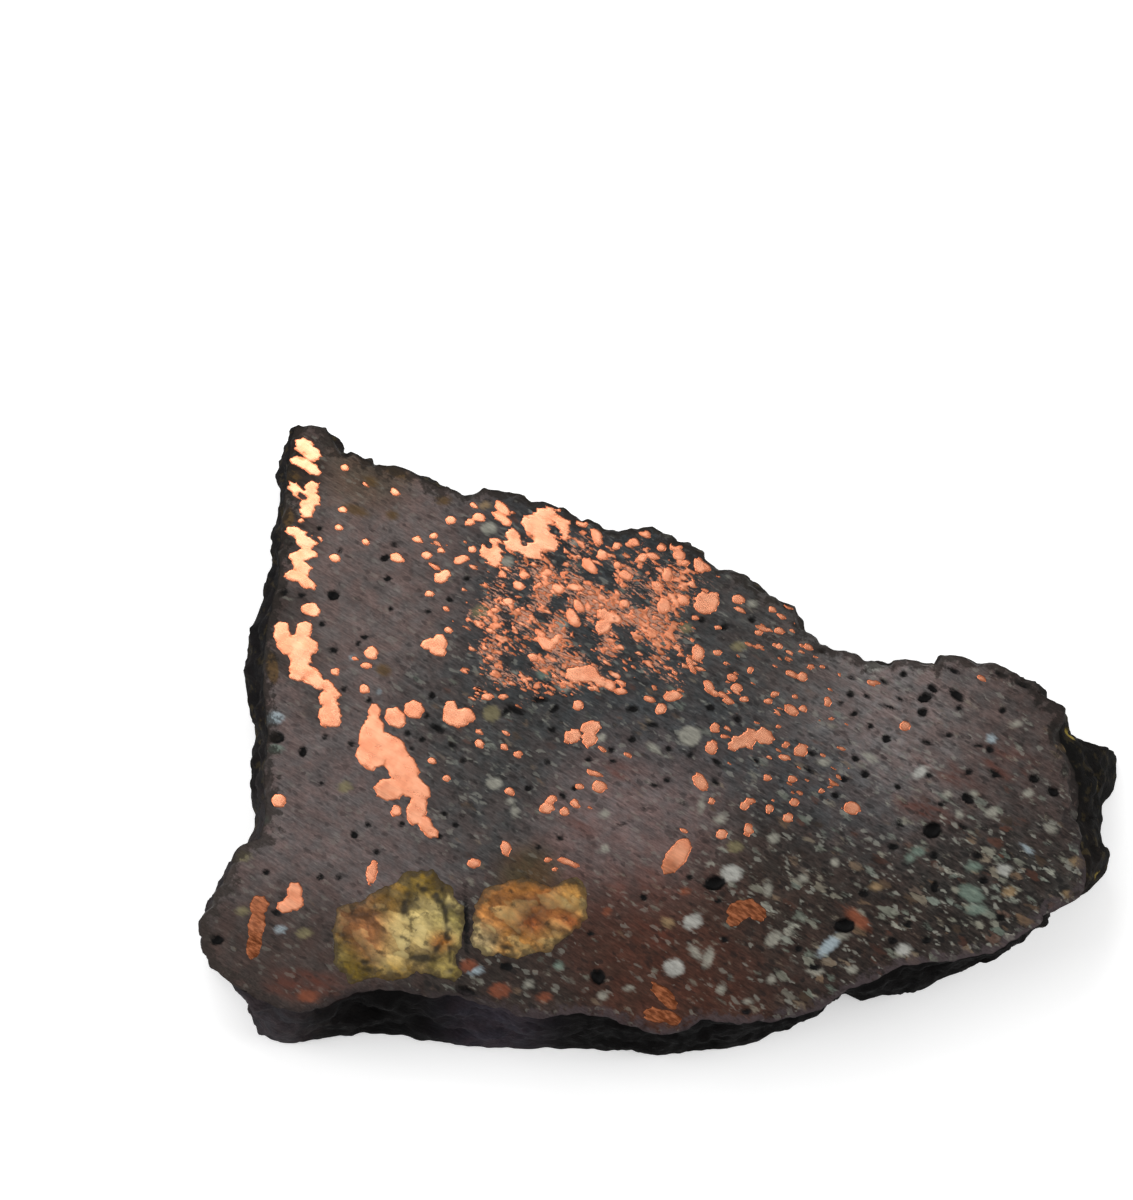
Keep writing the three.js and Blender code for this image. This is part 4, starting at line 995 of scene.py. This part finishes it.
# The copper beads
# Single small bubbles that copper filled, scattered over the face. They are cut flush as the masses are.
BEAD_INSET = 0.5  # how far beads stay from the face's edge in mm
BEAD_RAGGED = 0.5  # how ragged a bead's rim is, as for the masses
BEADS = [  # place in the plan, half length, half width and turn
    (-34.3, 32.6, 0.55, 0.45, -50), (-32.0, 30.6, 0.4, 0.2, -35), (-28.7, 29.6, 0.6, 0.4, -40),
    (-34.5, 27.4, 0.55, 0.4, -15), (-34.8, 25.3, 0.55, 0.45, -30), (-31.8, 23.6, 0.5, 0.35, -40),
    (-35.1, 21.6, 0.7, 0.55, -20), (-28.3, 21.5, 0.8, 0.65, -15), (-26.2, 23.8, 0.5, 0.35, -30),
    (-24.4, 24.3, 0.5, 0.45, 0), (-25.1, 21.9, 0.55, 0.4, 0), (-23.6, 22.5, 0.5, 0.3, -30),
    (-24.2, 20.5, 0.7, 0.3, -40), (-23.5, 19.2, 0.85, 0.7, 30), (-23.0, 19.6, 0.6, 0.5, 0),
    (-24.8, 17.3, 0.55, 0.45, 0), (-22.9, 15.5, 0.5, 0.35, -30), (-22.7, 13.0, 0.5, 0.4, -40),
    (-30.9, 10.2, 0.85, 0.75, 90), (-32.6, 9.6, 0.5, 0.3, -35), (-31.5, 8.8, 0.6, 0.45, -35),
    (-34.8, 8.0, 0.5, 0.5, 0), (-31.6, 6.0, 0.6, 0.55, 90), (-39.0, 26.1, 0.35, 0.3, 0),
    (-16.9, 27.6, 1.1, 0.6, -55), (-17.0, 26.4, 1.2, 0.6, -35), (-16.6, 25.9, 0.7, 0.5, -40),
    (-19.5, 26.5, 0.7, 0.6, 0), (-20.4, 25.9, 0.6, 0.5, 0), (-20.1, 28.0, 0.5, 0.3, -35),
    (-22.5, 26.2, 0.6, 0.55, 90), (-20.2, 22.6, 0.4, 0.4, 0), (-21.4, 21.4, 0.9, 0.5, 25),
    (-10.8, 17.9, 0.8, 0.6, -30), (-9.0, 18.0, 0.9, 0.4, -10), (-7.4, 20.7, 1.2, 0.7, -60),
    (-1.5, 21.7, 0.8, 0.5, 40), (-0.6, 21.8, 0.9, 0.5, -20), (-6.0, 21.9, 0.75, 0.6, 90),
    (-6.6, 24.2, 1.2, 0.5, -70), (-8.2, 25.9, 0.7, 0.55, -30), (-4.4, 23.0, 0.5, 0.5, 0),
    (-2.5, 23.5, 0.65, 0.55, 0), (-1.3, 24.5, 0.8, 0.4, -30), (0.6, 22.8, 0.6, 0.45, 0),
    (2.0, 22.9, 0.8, 0.6, -30), (2.4, 21.9, 0.8, 0.6, -30), (3.1, 21.0, 0.6, 0.5, 0),
    (4.6, 20.7, 1.0, 0.7, 90), (5.4, 21.2, 1.0, 0.5, 90), (1.1, 19.6, 1.0, 0.6, 90),
    (-4.3, 20.7, 0.5, 0.5, 0), (-3.4, 19.5, 0.9, 0.6, -30), (0.0, 18.3, 0.8, 0.5, -30),
    (-3.6, 16.0, 0.6, 0.5, -30), (0.7, 15.9, 1.0, 0.8, 90), (2.8, 16.5, 0.75, 0.65, 0),
    (-9.2, 14.5, 1.3, 0.6, -65), (-8.5, 15.8, 0.9, 0.5, -60), (-12.1, 11.4, 1.2, 0.7, -40),
    (-11.0, 11.8, 0.9, 0.5, 50), (-12.6, 12.4, 0.8, 0.4, -50), (-4.6, 14.3, 0.8, 0.5, -30),
    (-16.2, 16.3, 0.6, 0.5, 0), (-17.6, 15.3, 0.5, 0.4, 0), (-18.1, 12.9, 0.7, 0.4, -30),
    (-15.1, 18.3, 0.7, 0.5, -30), (-12.8, 18.3, 0.4, 0.4, 0), (-14.5, 19.5, 0.6, 0.5, 0),
    (-12.0, 19.8, 0.6, 0.5, 0), (-13.4, 9.7, 0.7, 0.5, -30), (-18.4, 5.0, 0.6, 0.4, 0),
    (-16.6, 5.1, 0.6, 0.4, 0), (4.3, 10.2, 1.1, 0.7, 100), (3.6, 8.7, 1.0, 0.4, -65),
    (5.5, 6.2, 0.9, 0.5, -60), (6.0, 5.6, 0.6, 0.4, -30), (6.9, 5.3, 0.8, 0.35, -35),
    (7.5, 4.6, 0.6, 0.4, -30), (8.4, 6.1, 0.65, 0.45, 0), (8.0, 7.4, 0.6, 0.5, 0),
    (1.5, 5.2, 1.0, 0.6, 5), (-0.8, 4.7, 0.7, 0.4, -25), (0.2, 3.7, 0.7, 0.6, 90),
    (-8.6, 4.1, 0.65, 0.6, 0), (-5.3, 6.4, 0.9, 0.6, -35), (-4.0, 6.7, 0.7, 0.4, -30),
    (-4.1, 5.7, 0.7, 0.4, -20), (-7.2, 6.1, 0.5, 0.35, 0), (8.8, 16.6, 0.6, 0.5, 0),
    (14.2, 15.9, 0.6, 0.35, -30), (12.4, 15.4, 0.4, 0.3, -30), (13.4, 14.5, 0.5, 0.3, -30),
    (10.9, 12.7, 0.45, 0.35, 0), (13.2, 12.9, 0.6, 0.5, 0), (13.1, 11.0, 0.4, 0.4, 0),
    (16.3, 10.9, 0.5, 0.3, -40), (9.9, 8.2, 0.45, 0.4, 90), (14.4, 7.7, 0.7, 0.4, -20),
    (15.5, 7.4, 0.6, 0.5, -35), (16.5, 8.6, 0.4, 0.3, 0), (17.7, 8.6, 0.4, 0.3, 0),
    (12.5, 5.4, 0.4, 0.3, 0), (14.7, 5.1, 0.35, 0.3, 0), (11.8, 4.6, 0.45, 0.35, 0),
    (9.2, 4.8, 0.4, 0.35, 0), (6.4, 10.3, 0.4, 0.35, 0), (6.5, 13.2, 0.4, 0.35, 0),
    (4.0, 14.4, 0.4, 0.35, 0), (23.0, 6.7, 0.75, 0.45, -10), (18.1, 4.5, 0.65, 0.45, 90),
    (14.2, 3.5, 1.0, 0.5, -40), (15.5, 3.7, 0.45, 0.4, 0), (26.4, 1.7, 0.6, 0.55, 0),
    (34.7, 7.3, 0.5, 0.25, -30), (12.8, 1.6, 0.4, 0.3, 0), (13.6, -0.5, 0.4, 0.3, 0),
    (15.1, -1.2, 0.8, 0.75, 0), (13.4, -2.0, 0.65, 0.4, -10), (11.5, -4.3, 0.4, 0.4, 0),
    (14.1, -4.5, 0.5, 0.35, -25), (14.3, -7.2, 0.55, 0.45, 0), (17.3, -5.8, 0.4, 0.3, -15),
    (18.0, -5.4, 0.45, 0.25, -10), (20.4, -7.8, 0.9, 0.8, 0), (6.0, 1.5, 0.7, 0.5, 80),
    (5.6, -0.8, 0.85, 0.7, 90), (7.0, 0.4, 0.6, 0.3, 0), (-19.2, 1.0, 0.5, 0.3, -20),
    (-19.2, -0.3, 0.65, 0.5, 100), (-16.3, 0.8, 0.5, 0.3, -30), (-16.5, -0.8, 0.5, 0.45, -20),
    (-15.1, -1.6, 0.55, 0.5, -40), (-6.1, -1.0, 0.5, 0.25, -30), (-3.4, -1.7, 0.5, 0.25, -35),
    (-6.8, -3.8, 0.85, 0.4, -20), (-6.4, -5.3, 0.85, 0.7, -30), (-8.4, -5.3, 0.4, 0.3, -10),
    (-16.0, -5.9, 0.55, 0.45, -20), (-12.0, -7.8, 0.8, 0.7, 0), (-11.6, -6.9, 0.7, 0.5, 40),
    (-10.1, -8.2, 0.5, 0.5, 0), (-8.9, -7.4, 0.75, 0.4, -50), (-7.4, -7.8, 0.35, 0.2, -30),
    (4.4, -4.9, 1.2, 0.7, -60), (5.5, -7.0, 0.4, 0.35, 0), (9.0, -7.6, 0.5, 0.5, 0),
    (9.7, -7.0, 0.6, 0.4, -10), (11.6, -7.9, 0.5, 0.4, 90), (6.5, -10.8, 0.65, 0.65, 0),
    (9.4, -10.2, 0.65, 0.5, 90), (13.6, -8.9, 0.5, 0.5, 0), (2.6, -10.4, 0.4, 0.2, -30),
    (-16.3, -12.4, 0.85, 0.5, -75), (-19.6, -14.1, 0.7, 0.5, 0), (-40.4, -7.0, 0.75, 0.7, 90),
    (-30.4, -15.2, 1.25, 0.55, 80), (-24.2, -2.4, 0.5, 0.4, -30), (-22.6, -4.4, 0.35, 0.35, 0),
    (-27.9, -8.1, 0.65, 0.55, 90), (-11.9, -13.7, 0.5, 0.35, 0), (-9.9, -13.9, 1.5, 0.45, -25),
    (-11.1, -14.7, 0.4, 0.3, 0),
]


def bead_field(x, y):
    """Below zero inside a bead: distance to the nearest, with part of the masses' raggedness."""
    nearest = np.full(x.shape, np.inf)
    for bead in BEADS:
        nearest = np.minimum(nearest, blob_distance(x, y, bead))
    close = nearest < 1
    from_edge = ring_distance(x[close], y[close], stone_rims[-1])
    nearest[close] = np.maximum(nearest[close], from_edge + BEAD_INSET)
    return nearest + BEAD_RAGGED * feathered(x, y)


beads, points, inner = flush_filling("copper_beads", bead_field, (-48, -34), (46, 39), COPPER_CELL,
                                     copper_relief, copper_depth)
keep_values(beads, "dull", np.full(len(points), 0.05))
keep_values(beads, "inner", 0.9 * inner)
finish_copper(beads)

# The copper flecks
# Copper as fine as grit that soaked into the lava between its bubbles, in lens-shaped flecks drawn out
# along the saw's way, thick in the middle of the face.
FLECK_CELL = 0.09
COARSE_FLECK, FINE_FLECK = (1.0, 0.56), (0.6, 0.3)  # spacing along and across the saw's way in mm
FLECK_SHARE = 0.47  # share of the lattice's cells that have a fleck, at a density of 1
LEAST_FLECK, FLECK_SPREAD = 0.22, 0.42  # half size of the smallest, and how much others exceed it, in cells


def lenses(along, across, layer, share):
    """How far each point lies outside the nearest lens, in lattice cells, below zero inside one.

    One lens is thrown into each cell at a random place with a random size, and a share of the cells has one.
    """
    i, j = np.floor(along), np.floor(across)
    nearest = np.full(along.shape, 2.0)
    for step in np.ndindex(3, 3):
        ci, cj = i + step[0] - 1, j + step[1] - 1
        away = np.hypot(ci + lattice(ci, cj, layer) - along, cj + lattice(ci, cj, layer + 1) - across)
        size = LEAST_FLECK + FLECK_SPREAD * lattice(ci, cj, layer + 2)
        here = lattice(ci, cj, layer + 3) < share
        nearest = np.where(here, np.minimum(nearest, away - size), nearest)
    return nearest


def fleck_field(x, y):
    """Below zero inside a fleck: the nearest of coarse and fine lenses drawn out along the saw's way."""
    along, across = saw_ways(x, y)
    share = FLECK_SHARE * fleck_density(x, y)
    coarse = 0.32 * lenses(along / COARSE_FLECK[0], across / COARSE_FLECK[1], 50.0, 0.8 * share)
    fine = 0.2 * lenses(along / FINE_FLECK[0], across / FINE_FLECK[1], 60.0, share)
    return np.minimum(coarse, fine) + 0.12 * noise(along / 0.6, across / 0.16, 64.0)


def fleck_depth(value):
    """Depth of a fleck below the face: more away from its rim."""
    return 0.2 - 0.5 * value


flecks, points, inner = flush_filling("copper_flecks", fleck_field, (-36, -14), (22, 33), FLECK_CELL,
                                      copper_relief, fleck_depth)
keep_values(flecks, "dull", 0.3 + 0.4 * noise(points[:, 0] / 0.6, points[:, 1] / 0.5, 31.0))
keep_values(flecks, "inner", 1.8 * inner)
finish_copper(flecks)

# The stage
# A white floor, a soft panel above the far side that the copper mirrors, one at each side, and the camera
FLOOR_HALF = 2.0
FLOOR_DROP = 0.1 * MM  # clear of the slab's underside
floor_mesh = bpy.data.meshes.new("floor")
square = [(-1, -1), (1, -1), (1, 1), (-1, 1)]
floor_corners = [(FLOOR_HALF * a, FLOOR_HALF * b, -FLOOR_DROP) for a, b in square]
floor_mesh.from_pydata(floor_corners, [], [(0, 1, 2, 3)])
floor = bpy.data.objects.new("floor", floor_mesh)
bpy.context.scene.collection.objects.link(floor)
white, _, shader = new_material("white_paper")
shader.inputs["Base Color"].default_value = (0.92, 0.92, 0.92, 1)
shader.inputs["Roughness"].default_value = 0.9
shader.inputs["Specular IOR Level"].default_value = 0.1
shader.inputs["Emission Color"].default_value = (1, 1, 1, 1)
shader.inputs["Emission Strength"].default_value = 0.4
floor_mesh.materials.append(white)

world = bpy.data.worlds.new("studio")
world.use_nodes = True
background = world.node_tree.nodes["Background"]
background.inputs["Color"].default_value = (1, 1, 1, 1)
background.inputs["Strength"].default_value = 0.42
bpy.context.scene.world = world
bpy.context.scene.view_settings.view_transform = "Standard"


def soft_panel(name, place, size, power):
    """A soft light panel in metres that faces the slab."""
    light = bpy.data.lights.new(name, "AREA")
    light.shape = "RECTANGLE"
    light.size, light.size_y = size
    light.energy = power
    panel = bpy.data.objects.new(name, light)
    panel.location = place
    panel.rotation_euler = Vector(place).to_track_quat("Z", "Y").to_euler()
    bpy.context.scene.collection.objects.link(panel)


soft_panel("far_panel", (-0.21, 0.43, 0.60), (0.40, 0.30), 1.6)
soft_panel("left_panel", (-1.1, -0.1, 0.75), (0.8, 1.2), 7.0)
soft_panel("right_panel", (1.1, -0.1, 0.75), (0.8, 1.2), 7.0)

# The camera looks down at 65 degrees, at the place of the face that the photograph has in its middle
AIM = np.array([-10.88, 13.23, 12.0]) * MM
DISTANCE = 434.3 * MM
ELEVATION = np.radians(65)
camera = bpy.data.objects.new("camera", bpy.data.cameras.new("camera"))
camera.data.lens = 120
camera.data.sensor_width = 36
camera.data.clip_start = 0.01
camera.location = AIM + DISTANCE * np.array([0, -np.cos(ELEVATION), np.sin(ELEVATION)])
camera.rotation_euler = (np.pi / 2 - ELEVATION, 0, 0)
bpy.context.scene.collection.objects.link(camera)
bpy.context.scene.camera = camera
